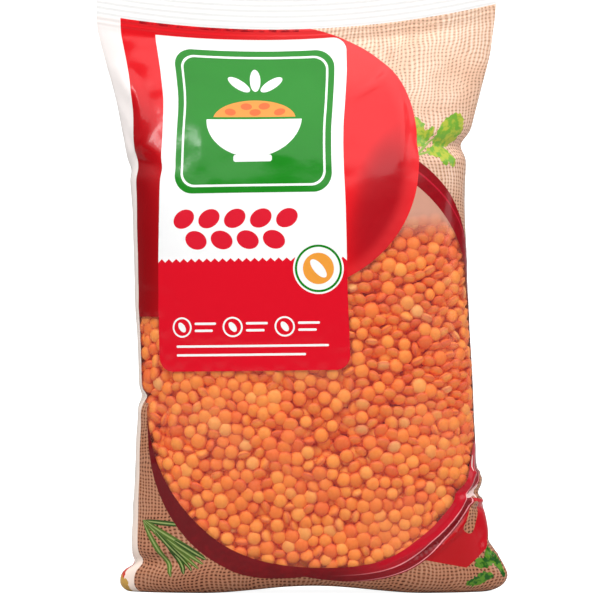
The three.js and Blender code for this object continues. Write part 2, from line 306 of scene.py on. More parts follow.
def crease_lift(creases, x, z):
    lift = np.zeros_like(x)
    for points, height, width in creases:
        line = curve_through(points)
        reach = CREASE_REACH * width
        low, high = line.min(axis=0) - reach, line.max(axis=0) + reach
        near = (x > low[0]) & (x < high[0]) & (z > low[1]) & (z < high[1])
        if not near.any():
            continue
        away = np.hypot(x[near][:, None] - line[:, 0], z[near][:, None] - line[:, 1])
        nearest = away.argmin(axis=1)
        share = nearest / (len(line) - 1)
        fade = CREASE_END + (1 - CREASE_END) * np.sin(np.pi * share)
        lift[near] += height * bell(away[np.arange(len(away)), nearest], width) * fade
    return lift


def crinkle(x, z, seed, size, stretch=(1.0, 1.0)):
    """Soft unevenness between -1 and 1, of about the given size in millimetres."""
    places = zip((x / (size * stretch[0])).ravel(), (z / (size * stretch[1])).ravel())
    return np.array([noise.noise((u, v, seed)) for u, v in places]).reshape(x.shape)


print(len(FRONT_CREASES) + len(BACK_CREASES), "large creases,", len(FINE_CREASES), "fine ones")

# %% [markdown]
# The film starts as what it is, a flat sheet: a grid whose columns run round the bag from the
# middle of the back and whose rows run up it. Its UV map is the flat sheet, so that the print
# is laid out flat and then bends with the film. Then every vertex is moved to its place on the
# filled bag. A lattice or a simulated cloth could bulge the sheet too, but neither would hit the
# form of the CAD solid or these creases.

# %% The flat sheet and its rows
HALF_COLUMNS = 150
FLAT_WIDTH = 280.0
FLAT_BOTTOM = -40.0
FLAT_HEIGHT = 256.0
ROWS = np.concatenate([
    BASE_ROUNDING * (1 - np.cos(np.linspace(0, np.pi / 2, 13))),
    np.linspace(BASE_ROUNDING, SEAL_START - 2, 184)[1:],
    np.linspace(SEAL_START - 2, BAG_TOP, 45)[1:],
])
SHARES = np.linspace(0, 1, HALF_COLUMNS + 1)
RIB_PITCH = 1.9
RIB_SIZE = 0.08
RIB_START = 1.5
LOOSE_DEPTH = 2.5
FINE_LOOSE_DEPTH = 0.8
# Where the film hangs free of lentils it is slack: how high each crinkle, its seed, its size
SLACK_START, SLACK_RISE = 128, 30
SLACK_CRINKLES = ((0.75, 3.0, 17), (0.3, 9.0, 7))
# The sides are crinkled at any height
SIDE_START, SIDE_RISE = 0.74, 0.14
SIDE_CRINKLE = {"lift": 0.32, "seed": 5.0, "size": 5.5, "stretch": (1.0, 2.2)}


def film_half(facing):
    """Places of one face of the film, as rows and columns of points in millimetres."""
    x, y = half_outline(ROWS, facing, SHARES)
    height = np.repeat(ROWS[:, None], x.shape[1], axis=1)
    outward = np.stack([-np.gradient(y, axis=1), np.gradient(x, axis=1)], axis=-1) * facing
    outward /= np.maximum(np.linalg.norm(outward, axis=-1, keepdims=True), 1e-9)
    z = row_height(x, height)
    deep = np.abs(y) - FILM_HALF
    loose = smooth(deep / LOOSE_DEPTH)
    creases = FRONT_CREASES if facing < 0 else BACK_CREASES
    lift = crease_lift(creases, x, z) * loose
    if facing < 0:
        lift += crease_lift(FINE_CREASES, x, z) * smooth(deep / FINE_LOOSE_DEPTH)
    slack = smooth((z - SLACK_START) / SLACK_RISE)
    crinkles = sum(high * crinkle(x, z, seed + facing, size) for high, seed, size in SLACK_CRINKLES)
    lift += crinkles * slack * loose
    side = smooth((np.abs(2 * SHARES - 1)[None, :] - SIDE_START) / SIDE_RISE)
    side_crinkle = crinkle(x, z, SIDE_CRINKLE["seed"] + facing, SIDE_CRINKLE["size"], SIDE_CRINKLE["stretch"])
    lift += SIDE_CRINKLE["lift"] * side_crinkle * side * smooth(deep)
    wave = SEAL_WAVE["size"] * np.sin(x / SEAL_WAVE["length"] + SEAL_WAVE["phase"])
    swing = wave * smooth((height - SEAL_WAVE["start"]) / (BAG_TOP - SEAL_WAVE["start"]))
    ribs = RIB_SIZE * np.sin(2 * np.pi * height / RIB_PITCH)
    swing += ribs * smooth((height - SEAL_START) / RIB_START)
    return np.stack([x + outward[..., 0] * lift, y + outward[..., 1] * lift + swing, z], axis=-1)


def film_grid(front, back):
    """The whole tube, from the middle of the back round the front to the middle of the back."""
    half = HALF_COLUMNS // 2
    return np.concatenate([back[:, half:0:-1], front, back[:, -2:half - 1:-1]], axis=1)


TUBE = film_grid(film_half(-1), film_half(1))
print("film of", TUBE.shape[1], "columns and", TUBE.shape[0], "rows")

# %% [markdown]
# The lentils come before the film gets its last touch, because they press small bumps into it.
# Lentils in a bag lie packed as close as they get. The ones against the window lie flat on the
# film, some stand on edge, and those behind fill the gaps. A rigid body simulation of two
# thousand lentils would be slow, so each layer starts as scattered points which push each other
# apart until they are evenly close, and each later layer is also pushed into the gaps of the
# one before.

# %% Where the lentils lie
LENTIL_RADIUS = 2.52
FILL_LEVEL = 131.0
WINDOW = {"centre": (5.0, 80.4), "radii": (63.6, 73.5), "turn": -0.168}
WINDOW_LEFT = {"centre": (-48.0, 83.5), "half": (13.6, 17.5)}
WINDOW_RIGHT = {"centre": (40.0, 80.0), "half": (30.4, 29.0)}
RED_DISC = {"centre": (-7.3, 154.6), "radii": (52.2, 50.4)}
RED_PANEL = {"centre": (-34.6, 150.0), "half": (27.4, 54.0)}
LABEL = {"centre": (-16.9, 138.6), "half": (33.6, 61.2), "lean": (0.018, 0.012)}
# How deep each layer lies and how far apart its lentils are
LAYERS = [(0.0, 4.5), (2.0, 4.5), (4.0, 4.6)]
SCATTER_LOW, SCATTER_HIGH = np.array([-72.0, -1.0]), np.array([88.0, FILL_LEVEL + 6])
ROW_SHARE = 0.87         # rows packed close are this share of the spacing apart
PUSH = 0.34              # how much of an overlap one step takes away
GAP_SHARE, GAP_PUSH = 0.62, 0.2      # how far from the lentils in front, and how firmly
rng = np.random.default_rng(7)


def push_apart(points, spacing, others, steps=30):
    for _ in range(steps):
        gap = points[:, None] - points[None]
        away = np.hypot(gap[..., 0], gap[..., 1]) + 1e-6
        push = np.clip(spacing - away, 0, None) * (away > 1e-5)
        points = points + PUSH * (gap / away[..., None] * push[..., None]).sum(axis=1)
        if others is not None:
            gap = points[:, None] - others[None]
            away = np.hypot(gap[..., 0], gap[..., 1]) + 1e-6
            push = np.clip(GAP_SHARE * spacing - away, 0, None)
            points = points + GAP_PUSH * (gap / away[..., None] * push[..., None]).sum(axis=1)
    return points


def within_ellipse(s, h, centre, radii, turn=0.0, grown=0.0):
    dx, dy = s - centre[0], h - centre[1]
    u = dx * math.cos(turn) + dy * math.sin(turn)
    v = dy * math.cos(turn) - dx * math.sin(turn)
    return (u / (radii[0] + grown)) ** 2 + (v / (radii[1] + grown)) ** 2 < 1


def within_panel(s, h, centre, half, grown=0.0):
    return (np.abs(s - centre[0]) < half[0] + grown) & (np.abs(h - centre[1]) < half[1] + grown)


def in_window(s, h, margin):
    """Whether flat places are in the window widened by a margin, and not under solid ink."""
    inside = within_ellipse(s, h, **WINDOW, grown=margin)
    covered = within_panel(s, h, LABEL["centre"], LABEL["half"], -margin - 1)
    covered |= within_ellipse(s, h, **RED_DISC, grown=-margin)
    covered |= within_panel(s, h, **RED_PANEL, grown=-margin)
    for widening in (WINDOW_LEFT, WINDOW_RIGHT):
        inside |= within_panel(s, h, **widening, grown=margin)
    return inside & ~covered


def fill_top(s):
    """The lentils' level, a little uneven from side to side."""
    return FILL_LEVEL + 1.6 * np.sin(s / 9.0) + 1.2 * np.sin(s / 3.7 + 1)


def scattered(spacing, others):
    room = SCATTER_HIGH - SCATTER_LOW
    count = int(np.prod(room) / (ROW_SHARE * spacing ** 2))
    points = SCATTER_LOW + rng.random((count, 2)) * room
    return push_apart(points, spacing, others)


layer_points = []
for depth, spacing in LAYERS:
    before = layer_points[-1] if layer_points else None
    layer_points.append(scattered(spacing, before))
print("scattered", [len(points) for points in layer_points])

# %% [markdown]
# One lentil is a sphere pressed to a lens. It has only a few dozen faces, because there are
# about two thousand of them, each copied into one mesh with its own size, tilt and tint. The
# tint is an attribute of the mesh, which the material reads, and so is how near the rim of its
# lentil each vertex lies.

# %% One lentil
deselect()
bpy.ops.mesh.primitive_uv_sphere_add(segments=12, ring_count=4, radius=1.0)
lens = new_piece("lens")
THICKNESS = 0.52
FULLER = (1.1, 1.1, 1.06)      # the rings between rim and tip are moved out by this much
for vertex in lens.data.vertices:
    vertex.select = 0.1 < abs(vertex.co.z) < 0.9
bpy.ops.object.mode_set(mode="EDIT")
bpy.ops.transform.resize(value=FULLER)
bpy.ops.mesh.select_all(action="SELECT")
bpy.ops.transform.resize(value=(1, 1, THICKNESS))
bpy.ops.mesh.quads_convert_to_tris()
bpy.ops.object.mode_set(mode="OBJECT")
LENS_PLACES = places_of(lens.data).copy()
LENS_FACES = np.array([list(face.vertices) for face in lens.data.polygons])
bpy.data.objects.remove(lens)
LENS_RIM = (1 - np.abs(LENS_PLACES[:, 2]) / THICKNESS) ** 0.8
print("one lentil has", len(LENS_FACES), "faces")

# %% [markdown]
# Most lentils of a layer lie nearly flat on the film. Some of them, and more toward the middle
# of the window, are stacked like fallen coins, and a few stand on edge. Each is moved in by its
# own reach, so that it touches the film and never pokes through. At the right side of the
# window they stay close to the film, because a gap would show there against the light.


# %% Pack the lentils behind the film
PAST_EDGE = 2.6           # lentils lie this far past the window's edge, and farther at its side
PAST_SIDE = {"more": 8.0, "from": 52, "over": 10, "above": 46, "rise": 12}
STACKED = {"most": 0.6, "level": 88, "spread": 36, "least": 0.3, "more": 0.35}
STACK_TILT, STACK_LEAN = 1.6, 0.35
ON_EDGE_SHARE, ON_EDGE_TILT, MOST_TILT = 0.14, (0.8, 1.4), 1.45
LOOSE_TILT, DEEPER_TILT = 0.32, 0.15
SIZE_SPREAD, SMALLEST, LARGEST = 0.08, 0.8, 1.16
CLEARANCE = 0.12
LOOSE_FIT = {"most": 0.7, "less": 0.6, "from": 44, "over": 14}
CORNER_INSET = {"inset": 1.4, "from": 38, "below": 46, "over": 8}


def film_place(s, h):
    """Place and outward direction on the film, at flat places across and up the sheet."""
    column = (s / FLAT_WIDTH + 0.5) * (TUBE.shape[1] - 1)
    row = np.interp(h, ROWS, np.arange(len(ROWS)))
    i = np.clip(np.floor(column).astype(int), 0, TUBE.shape[1] - 2)
    j = np.clip(np.floor(row).astype(int), 0, len(ROWS) - 2)
    f, g = (column - i)[:, None], (row - j)[:, None]
    at = (TUBE[j, i] * (1 - f) + TUBE[j, i + 1] * f) * (1 - g)
    at = at + (TUBE[j + 1, i] * (1 - f) + TUBE[j + 1, i + 1] * f) * g
    i0, i1 = np.clip(i - 2, 0, None), np.clip(i + 3, None, TUBE.shape[1] - 1)
    j0, j1 = np.clip(j - 2, 0, None), np.clip(j + 3, None, len(ROWS) - 1)
    out = np.cross(TUBE[j, i1] - TUBE[j, i0], TUBE[j1, i] - TUBE[j0, i])
    return at, out / np.linalg.norm(out, axis=1, keepdims=True)


lentils = []
for layer, (depth, spacing) in enumerate(LAYERS):
    s, h = layer_points[layer].T
    past = PAST_SIDE["more"] * smooth((s - PAST_SIDE["from"]) / PAST_SIDE["over"])
    past = past * smooth((h - PAST_SIDE["above"]) / PAST_SIDE["rise"])
    keep = in_window(s, h, PAST_EDGE + past) & (h > 2.0) & (h < fill_top(s) - 0.25 * depth)
    s, h = s[keep], h[keep]
    count = len(s)
    at, out = film_place(s, h)
    likely = STACKED["least"] + STACKED["more"] * smooth((s + 10) / 40)
    stacked = STACKED["most"] * bell(h - STACKED["level"], STACKED["spread"]) * (rng.random(count) < likely)
    on_edge = rng.random(count) < ON_EDGE_SHARE
    tilt = np.abs(rng.normal(0, LOOSE_TILT + DEEPER_TILT * layer, count)) + stacked * STACK_TILT
    tilt = np.clip(np.where(on_edge, rng.uniform(*ON_EDGE_TILT, count), tilt), 0, MOST_TILT)
    stack_lean, any_lean = rng.normal(0, STACK_LEAN, count), rng.uniform(0, 2 * np.pi, count)
    lean = np.where(stacked > 0.1, stack_lean, any_lean)
    radius = LENTIL_RADIUS * np.clip(rng.normal(1.0, SIZE_SPREAD, count), SMALLEST, LARGEST)
    reach = radius * np.hypot(np.sin(tilt), THICKNESS * np.cos(tilt))
    loose = LOOSE_FIT["most"] - LOOSE_FIT["less"] * smooth((s - LOOSE_FIT["from"]) / LOOSE_FIT["over"])
    inset = reach + CLEARANCE + depth + rng.uniform(0, 1, count) * loose * (1 + 0.5 * layer)
    in_corner = smooth((s - CORNER_INSET["from"]) / CORNER_INSET["over"])
    in_corner = CORNER_INSET["inset"] * in_corner * smooth((CORNER_INSET["below"] - h) / CORNER_INSET["over"])
    centre = at - out * (inset + in_corner)[:, None]
    spin = rng.uniform(0, 2 * np.pi, count)
    tint = rng.random(count)
    for k in range(count):
        lentils.append((centre[k], out[k], tilt[k], lean[k], spin[k], radius[k], tint[k], layer))
print(len(lentils), "lentils,", sum(1 for one in lentils if one[-1] == 0), "of them against the film")


# %% Join them in one mesh
def lentil_places(centre, out, tilt, lean, spin, radius, *_):
    """The lens turned to face outward, then tilted about an axis that leans from level."""
    upward = Vector((0, 0, 1))
    level = upward.cross(Vector(out)).normalized()
    facing = Matrix((level, Vector(out).cross(level), Vector(out))).transposed()
    turn = Matrix.Rotation(lean, 3, "Z") @ Matrix.Rotation(tilt, 3, "X")
    turn = turn @ Matrix.Rotation(spin, 3, "Z")
    turned = LENS_PLACES @ np.array(facing @ turn).T
    return centre + turned * radius


lentil_mesh = bpy.data.meshes.new("lentils")
all_places = np.concatenate([lentil_places(*one) for one in lentils]) * MM
first = np.arange(len(lentils))[:, None, None] * len(LENS_PLACES)
all_faces = (LENS_FACES[None] + first).reshape(-1, 3)
lentil_mesh.from_pydata(all_places.tolist(), [], all_faces.tolist())
lentil_piece = bpy.data.objects.new("lentils", lentil_mesh)
bpy.context.scene.collection.objects.link(lentil_piece)
for name, values in (("tint", np.repeat([one[-2] for one in lentils], len(LENS_PLACES))),
                     ("rim", np.tile(LENS_RIM, len(lentils)))):
    attribute = lentil_mesh.attributes.new(name, "FLOAT", "POINT")
    attribute.data.foreach_set("value", values.astype(np.float32))
lentil_mesh.polygons.foreach_set("use_smooth", np.ones(len(all_faces), bool))
lentil_mesh.update()
print(len(all_faces), "triangles of lentils")

# %% [markdown]
# Behind the layers that show, the bag is full of lentils that nobody sees. A bumpy core stands
# for them and closes the last gaps. It starts as a sphere, and each vertex is moved out to the
# inside of the bag, less the thickness of the layers in front of it.

# %% The core
CORE_INSET = 6.2
CORE_BOTTOM, CORE_TOP = 6.0, FILL_LEVEL - 5
SQUARER = 0.4            # the sphere's profile is raised to this power, which fills its corners
CORE_MIDDLE = 1.0
BUMP_SIZE = 3.2
deselect()
bpy.ops.mesh.primitive_uv_sphere_add(segments=144, ring_count=90, radius=1.0)
core = new_piece("lentil_core")
unit = places_of(core.data)
polar = np.arcsin(np.clip(unit[:, 2], -1, 1))
level = np.sign(polar) * np.abs(np.sin(polar)) ** SQUARER
ring = np.abs(np.cos(polar)) ** SQUARER
around = np.arctan2(unit[:, 1], unit[:, 0])
core_height = (CORE_BOTTOM + CORE_TOP) / 2 + level * (CORE_TOP - CORE_BOTTOM) / 2
core_x, core_y = np.zeros(len(unit)), np.zeros(len(unit))
for facing in (-1, 1):
    mine = np.where((unit[:, 1] < 0) == (facing < 0))[0]
    for lot in np.array_split(mine, 40):
        heights, which = np.unique(np.round(core_height[lot], 2), return_inverse=True)
        x, y = half_outline(heights, facing, SHARES, CORE_INSET)
        at = (1 - np.abs(around[lot]) / np.pi) * HALF_COLUMNS
        i = np.clip(np.floor(at).astype(int), 0, HALF_COLUMNS - 1)
        f = at - i
        core_x[lot] = x[which, i] * (1 - f) + x[which, i + 1] * f
        core_y[lot] = y[which, i] * (1 - f) + y[which, i + 1] * f
bumps = np.array([noise.noise(Vector(p) / BUMP_SIZE)
                  for p in np.stack([core_x * ring, core_y * ring, core_height], axis=1)])
core_places = np.stack([
    CORE_MIDDLE + (core_x - CORE_MIDDLE) * (ring + 0.02 * bumps),
    core_y * (ring + 0.06 * bumps),
    core_height + 0.9 * bumps,
], axis=1)
set_places(core.data, core_places * MM)
deselect()
core.select_set(True)
bpy.context.view_layer.objects.active = core
bpy.ops.object.shade_smooth()
print("core from", round(core_places[:, 2].min(), 1), "to", round(core_places[:, 2].max(), 1), "mm")

# %% [markdown]
# Now the film is made. Where a lentil lies against the window it presses a low bump into the
# film, which is what breaks up the shine there. The base is a second small grid across the
# bottom, with the folded seal lying on it as a flap, and the top edge a strip between the two
# layers of the seal. The three are joined and their touching edges merged, which closes them.

# %% Bumps that the lentils press
BUMP, BUMP_WIDTH, BUMP_LEVEL = 0.16, 2.2, 0.4
BUMP_REACH = 8
NEAR_WINDOW = slice(60, 245)      # the columns of the film that the window reaches
pressed = np.array([one[0] + one[1] * 2.0 for one in lentils if one[-1] == 0])


def press_bumps(tube):
    low = tube[:, NEAR_WINDOW].copy()
    flat = low.reshape(-1, 3)
    nearest = np.full(len(flat), 1e3)
    for lot in np.array_split(pressed, 12):
        away = np.linalg.norm(flat[:, None] - lot[None], axis=2).min(axis=1)
        nearest = np.minimum(nearest, away)
    out = np.cross(np.gradient(low, axis=1), np.gradient(low, axis=0))
    out /= np.maximum(np.linalg.norm(out, axis=2, keepdims=True), 1e-9)
    rise = BUMP * (bell(nearest, BUMP_WIDTH) - BUMP_LEVEL) * (nearest < BUMP_REACH)
    tube[:, NEAR_WINDOW] = low + out * rise.reshape(low.shape[:2])[..., None]


press_bumps(TUBE)

# %% Sheets of film: the tube, the base and the top edge
BASE_STRIPS = 20
BASE_DEPTH = 36
FLAP = {"near": 0.27, "far": 0.73, "edge": 0.06, "recess": 0.9, "proud": 0.7, "end": 36.0,
        "fade": 5.0}


def sheet(name, columns, rows, places, flat):
    """A grid primitive bent to rows and columns of places, with its flat places as UV map."""
    deselect()
    bpy.ops.mesh.primitive_grid_add(x_subdivisions=columns, y_subdivisions=rows, size=2)
    piece = new_piece(name)
    unbent = places_of(piece.data)
    column = np.rint((unbent[:, 0] + 1) / 2 * columns).astype(int)
    row = np.rint((unbent[:, 1] + 1) / 2 * rows).astype(int)
    set_places(piece.data, places[row, column] * MM)
    corner = np.empty(len(piece.data.loops), int)
    piece.data.loops.foreach_get("vertex_index", corner)
    uv = (flat[row, column][corner] - (-FLAT_WIDTH / 2, FLAT_BOTTOM)) / (FLAT_WIDTH, FLAT_HEIGHT)
    piece.data.uv_layers.active.data.foreach_set("uv", uv.astype(np.float32).ravel())
    return piece


columns = TUBE.shape[1] - 1
across = np.linspace(-FLAT_WIDTH / 2, FLAT_WIDTH / 2, columns + 1)
tube_flat = np.stack(np.meshgrid(across, ROWS), axis=-1)
film = sheet("film", columns, len(ROWS) - 1, TUBE, tube_flat)



def front_and_back(row):
    """A row of the tube as its front half and its back half, both from left to right."""
    half = HALF_COLUMNS // 2
    back = np.concatenate([row[half::-1], row[-2:columns - half - 1:-1]])
    return row[half:half + HALF_COLUMNS + 1], back


front_rim, back_rim = front_and_back(TUBE[0])
share = np.linspace(0, 1, BASE_STRIPS + 1)[::-1, None]
base = front_rim[None] * (1 - share[..., None]) + back_rim[None] * share[..., None]
inside = smooth(np.minimum(share, 1 - share) * 4)
in_middle = smooth((FLAP["end"] - np.abs(base[..., 0] - ARCH["middle"])) / FLAP["fade"])
on_flap = smooth(np.minimum(share - FLAP["near"], FLAP["far"] - share) / FLAP["edge"] + 0.5)
base[..., 2] += inside * in_middle * (FLAP["recess"] - FLAP["proud"] * on_flap)
base_across = np.linspace(-FLAT_WIDTH / 4, FLAT_WIDTH / 4, HALF_COLUMNS + 1)[None]
base_flat = np.stack(np.broadcast_arrays(base_across, -BASE_DEPTH * share), axis=-1)
base_sheet = sheet("base", HALF_COLUMNS, BASE_STRIPS, base, base_flat)

edge_flat = np.stack(np.broadcast_arrays(base_across, np.full((2, 1), BAG_TOP)), axis=-1)
edge_strip = sheet("edge", HALF_COLUMNS, 1, np.stack(front_and_back(TUBE[-1])), edge_flat)

# %% Join the sheets
MERGE_DISTANCE = 0.002 * MM
deselect()
for piece in (film, base_sheet, edge_strip):
    piece.select_set(True)
bpy.context.view_layer.objects.active = film
bpy.ops.object.join()
bpy.ops.object.mode_set(mode="EDIT")
bpy.ops.mesh.select_all(action="SELECT")
bpy.ops.mesh.remove_doubles(threshold=MERGE_DISTANCE)
bpy.ops.mesh.delete_loose()
bpy.ops.mesh.select_all(action="SELECT")
bpy.ops.mesh.normals_make_consistent(inside=False)
bpy.ops.mesh.select_all(action="DESELECT")
bpy.ops.mesh.select_non_manifold(extend=False)
bpy.ops.object.mode_set(mode="OBJECT")
open_edges = sum(edge.select for edge in film.data.edges)
bpy.ops.object.shade_smooth_by_angle(angle=math.radians(50))
print("film", len(film.data.polygons), "faces, open edges", open_edges)

# %% [markdown]
# The fin seal is where the two edges of the film are welded face to face down the back. It is a
# flat double strip, joined to the bag along the middle of the back and folded over to one side,
# and its free edge stands off a little and waves. It is a grid laid on the back of the bag,
# with a Solidify modifier for its thickness.

# %% Fin seal
FIN = {"width": 10.0, "off": 0.25, "curl": 0.7, "thick": 0.3}
FIN_WAVE, FIN_WAVE_LENGTH = 0.35, 7.5
FIN_RIB, FIN_RIB_PITCH = 0.05, 3.8
fin_rows = np.where((ROWS > 2) & (ROWS < BAG_TOP - 0.5))[0][::2]
fin_across = np.linspace(0, FIN["width"], 9)
fin_places = np.zeros((len(fin_rows), len(fin_across), 3))
fin_flat = np.zeros((len(fin_rows), len(fin_across), 2))
up = ROWS[fin_rows]
for k, offset in enumerate(fin_across):
    s = np.full(len(fin_rows), FLAT_WIDTH / 2 - 0.5 - offset)
    at, out = film_place(s, up)
    free = offset / FIN["width"]
    lift = FIN["off"] + free ** 2 * (FIN["curl"] + FIN_WAVE * np.sin(up / FIN_WAVE_LENGTH))
    lift = lift + FIN_RIB * np.sin(2 * np.pi * up / FIN_RIB_PITCH)
    fin_places[:, k] = at + out * lift[:, None]
    fin_flat[:, k] = np.stack([s, up], axis=1)
fin = sheet("fin_seal", len(fin_across) - 1, len(fin_rows) - 1,
            fin_places[:, ::-1], fin_flat[:, ::-1])
deselect()
fin.select_set(True)
bpy.context.view_layer.objects.active = fin
thickness = fin.modifiers.new("thickness", "SOLIDIFY")
thickness.thickness = FIN["thick"] * MM
thickness.offset = 1.0
bpy.ops.object.modifier_apply(modifier="thickness")
bpy.ops.object.mode_set(mode="EDIT")
bpy.ops.mesh.select_all(action="SELECT")
bpy.ops.mesh.normals_make_consistent(inside=False)
bpy.ops.object.mode_set(mode="OBJECT")
bpy.ops.object.shade_smooth_by_angle(angle=math.radians(40))
print("fin seal", len(fin.data.polygons), "faces")

# %% [markdown]
# Materials come next. A node is added for every step of the sum, so a helper adds one, sets it
# and links it in one line, and a second one does a step of arithmetic.


# %% Node helpers
def add(tree, kind, inputs=(), **settings):
    made = tree.nodes.new(kind)
    for name, value in settings.items():
        setattr(made, name, value)
    for key, value in dict(inputs).items():
        if isinstance(value, bpy.types.NodeSocket):
            tree.links.new(value, made.inputs[key])
        else:
            made.inputs[key].default_value = value
    return made


def sum_of(tree, operation, a, b=0.0, c=0.0):
    return add(tree, "ShaderNodeMath", {0: a, 1: b, 2: c}, operation=operation).outputs[0]


def vector_of(tree, operation, a, b=(0, 0, 0), c=(0, 0, 0)):
    inputs = {0: a, 1: b}
    if operation == "MULTIPLY_ADD":
        inputs[2] = c
    made = add(tree, "ShaderNodeVectorMath", inputs, operation=operation)
    return made.outputs["Value" if operation in ("LENGTH", "DOT_PRODUCT") else 0]


FACTOR_IN, UNDER_IN, OVER_IN, COLOUR_OUT = 0, 6, 7, 2     # a Mix node's sockets, for colours


def blend(tree, factor, under, over, kind="MIX"):
    return add(tree, "ShaderNodeMix", {FACTOR_IN: factor, UNDER_IN: under, OVER_IN: over},
               data_type="RGBA", blend_type=kind).outputs[COLOUR_OUT]


def soft_step(tree, value, low, high):
    """A smooth rise from 0 at low to 1 at high, which needs no clamp node after it."""
    made = add(tree, "ShaderNodeMapRange", {0: value, 1: low, 2: high},
               interpolation_type="SMOOTHSTEP", clamp=False)
    return made.outputs[0]


def warp(tree, place, uneven, x, y):
    """Places shifted unevenly, by up to about half of x across and half of y up."""
    parts = add(tree, "ShaderNodeSeparateColor", {0: uneven.outputs["Color"]})
    shift_x = sum_of(tree, "MULTIPLY_ADD", parts.outputs[0], x, -x / 2)
    shift_y = sum_of(tree, "MULTIPLY_ADD", parts.outputs[1], y, -y / 2)
    shift = add(tree, "ShaderNodeCombineXYZ", {0: shift_x, 1: shift_y}).outputs[0]
    return vector_of(tree, "ADD", place, shift)


def colour(red, green, blue):
    """A colour as seen on screen, from 0 to 255, turned into Blender's linear numbers."""
    screen = [v / 255 for v in (red, green, blue)]
    return tuple(v / 12.92 if v < 0.04045 else ((v + 0.055) / 1.055) ** 2.4 for v in screen) + (1.0,)


def new_group(name, inputs, outputs):
    group = bpy.data.node_groups.new(name, "ShaderNodeTree")
    for label, kind in inputs:
        group.interface.new_socket(name=label, in_out="INPUT", socket_type=kind)
    for label, kind in outputs:
        group.interface.new_socket(name=label, in_out="OUTPUT", socket_type=kind)
    return group, add(group, "NodeGroupInput"), add(group, "NodeGroupOutput")


# %% [markdown]
# Much of the print is a picture of coarse woven cloth: threads across and up with dark holes
# between them, a little uneven in width and colour. As it is only printed, it gives a colour and
# no relief. A wave across and a wave up make the threads, and where both are high there is a
# hole. One input paints shade into it, making the holes larger and darker toward the bottom
# of the bag, which faces down, away from the light.

# %% Woven ground as a node group
THREAD_LIGHT, THREAD_WARM = colour(255, 229, 208), colour(250, 208, 180)
THREAD_SHADE, HOLE_BROWN = colour(232, 186, 156), colour(100, 52, 28)
weave, weave_in, weave_out = new_group(
    "woven_ground",
    [("Place", "NodeSocketVector")] + [(name, "NodeSocketFloat") for name in ("Across", "Up", "Shade_Below")],
    [("Color", "NodeSocketColor")])
place = weave_in.outputs["Place"]
drift = add(weave, "ShaderNodeTexNoise", {"Vector": place, "Scale": 0.06, "Detail": 2.0})
fuzz = add(weave, "ShaderNodeTexNoise", {"Vector": place, "Scale": 1.1, "Detail": 2.0})
shift = warp(weave, warp(weave, place, drift, 6.0, 6.0), fuzz, 0.22, 0.18)
parts = add(weave, "ShaderNodeSeparateXYZ", {0: shift})
turns_x = sum_of(weave, "DIVIDE", 2 * math.pi, weave_in.outputs["Across"])
turns_y = sum_of(weave, "DIVIDE", 2 * math.pi, weave_in.outputs["Up"])
wave_x = sum_of(weave, "COSINE", sum_of(weave, "MULTIPLY", parts.outputs[0], turns_x))
wave_y = sum_of(weave, "COSINE", sum_of(weave, "MULTIPLY", parts.outputs[1], turns_y))
uneven = sum_of(weave, "MULTIPLY_ADD", fuzz.outputs[0], 1.6, -0.8)
# Painted shade: toward the bottom of the bag the holes grow larger and darker
hole_size_and_shade = sum_of(weave, "MULTIPLY_ADD", weave_in.outputs["Shade_Below"], 0.4, uneven)
slot_x = soft_step(weave, sum_of(weave, "ADD", wave_x, hole_size_and_shade), -0.1, 0.65)
slot_y = soft_step(weave, sum_of(weave, "ADD", wave_y, hole_size_and_shade), 0.3, 1.0)
hole = sum_of(weave, "MULTIPLY", slot_x, slot_y)
raised = sum_of(weave, "MULTIPLY_ADD", wave_y, 0.4, wave_x)
thread = soft_step(weave, sum_of(weave, "ADD", raised, uneven), -1.3, 0.9)
blotch = soft_step(weave, drift.outputs[0], 0.35, 0.65)
light = blend(weave, blotch, THREAD_LIGHT, THREAD_WARM)
shade = blend(weave, thread, light, THREAD_SHADE)
darkness = sum_of(weave, "MULTIPLY_ADD", blotch, 0.3, 0.35)
darkness = sum_of(weave, "MULTIPLY_ADD", weave_in.outputs["Shade_Below"], 0.35, darkness)
holes = blend(weave, sum_of(weave, "MULTIPLY", hole, darkness), shade, HOLE_BROWN)
weave.links.new(holes, weave_out.inputs["Color"])

# %% [markdown]
# The print is laid out flat, in millimetres across from the middle of the front and up from
# the bottom, and painted from the back forward: woven ground, leaves, the dark band round the
# window, the red field, and the label on top. Each shape is a mask, an ellipse or a panel with
# round corners, so that its edge stays crisp however near the camera comes. The label has no
# words: plain shapes stand in their places. Where there is no ink, the film is clear. Painted
# shade and painted highlights go into the same colour, where the bag bends, folds or faces down.

# %% Shapes of ink
print_group, print_in, print_out = new_group(
    "bag_print", [("Flat", "NodeSocketVector")],
    [("Color", "NodeSocketColor"), ("Ink", "NodeSocketFloat"), ("Haze", "NodeSocketFloat")])
flat = vector_of(print_group, "MULTIPLY_ADD", print_in.outputs["Flat"],
                 (FLAT_WIDTH, FLAT_HEIGHT, 0), (-FLAT_WIDTH / 2, FLAT_BOTTOM, 1))
flat_parts = add(print_group, "ShaderNodeSeparateXYZ", {0: flat})
wobble = add(print_group, "ShaderNodeTexNoise", {"Vector": flat, "Scale": 0.5, "Detail": 2.0})
ragged = warp(print_group, flat, wobble, 2.6, 2.6)
ACROSS, UP = flat_parts.outputs[0], flat_parts.outputs[1]


def calc(operation, a, b=0.0, c=0.0):
    return sum_of(print_group, operation, a, b, c)


def along(centre, bearing, where=None):
    """How far a place lies from a centre in one direction: one dot product, as its z is 1."""
    toward = (math.cos(bearing), math.sin(bearing))
    level = -centre[0] * toward[0] - centre[1] * toward[1]
    return vector_of(print_group, "DOT_PRODUCT", where or flat, (*toward, level))


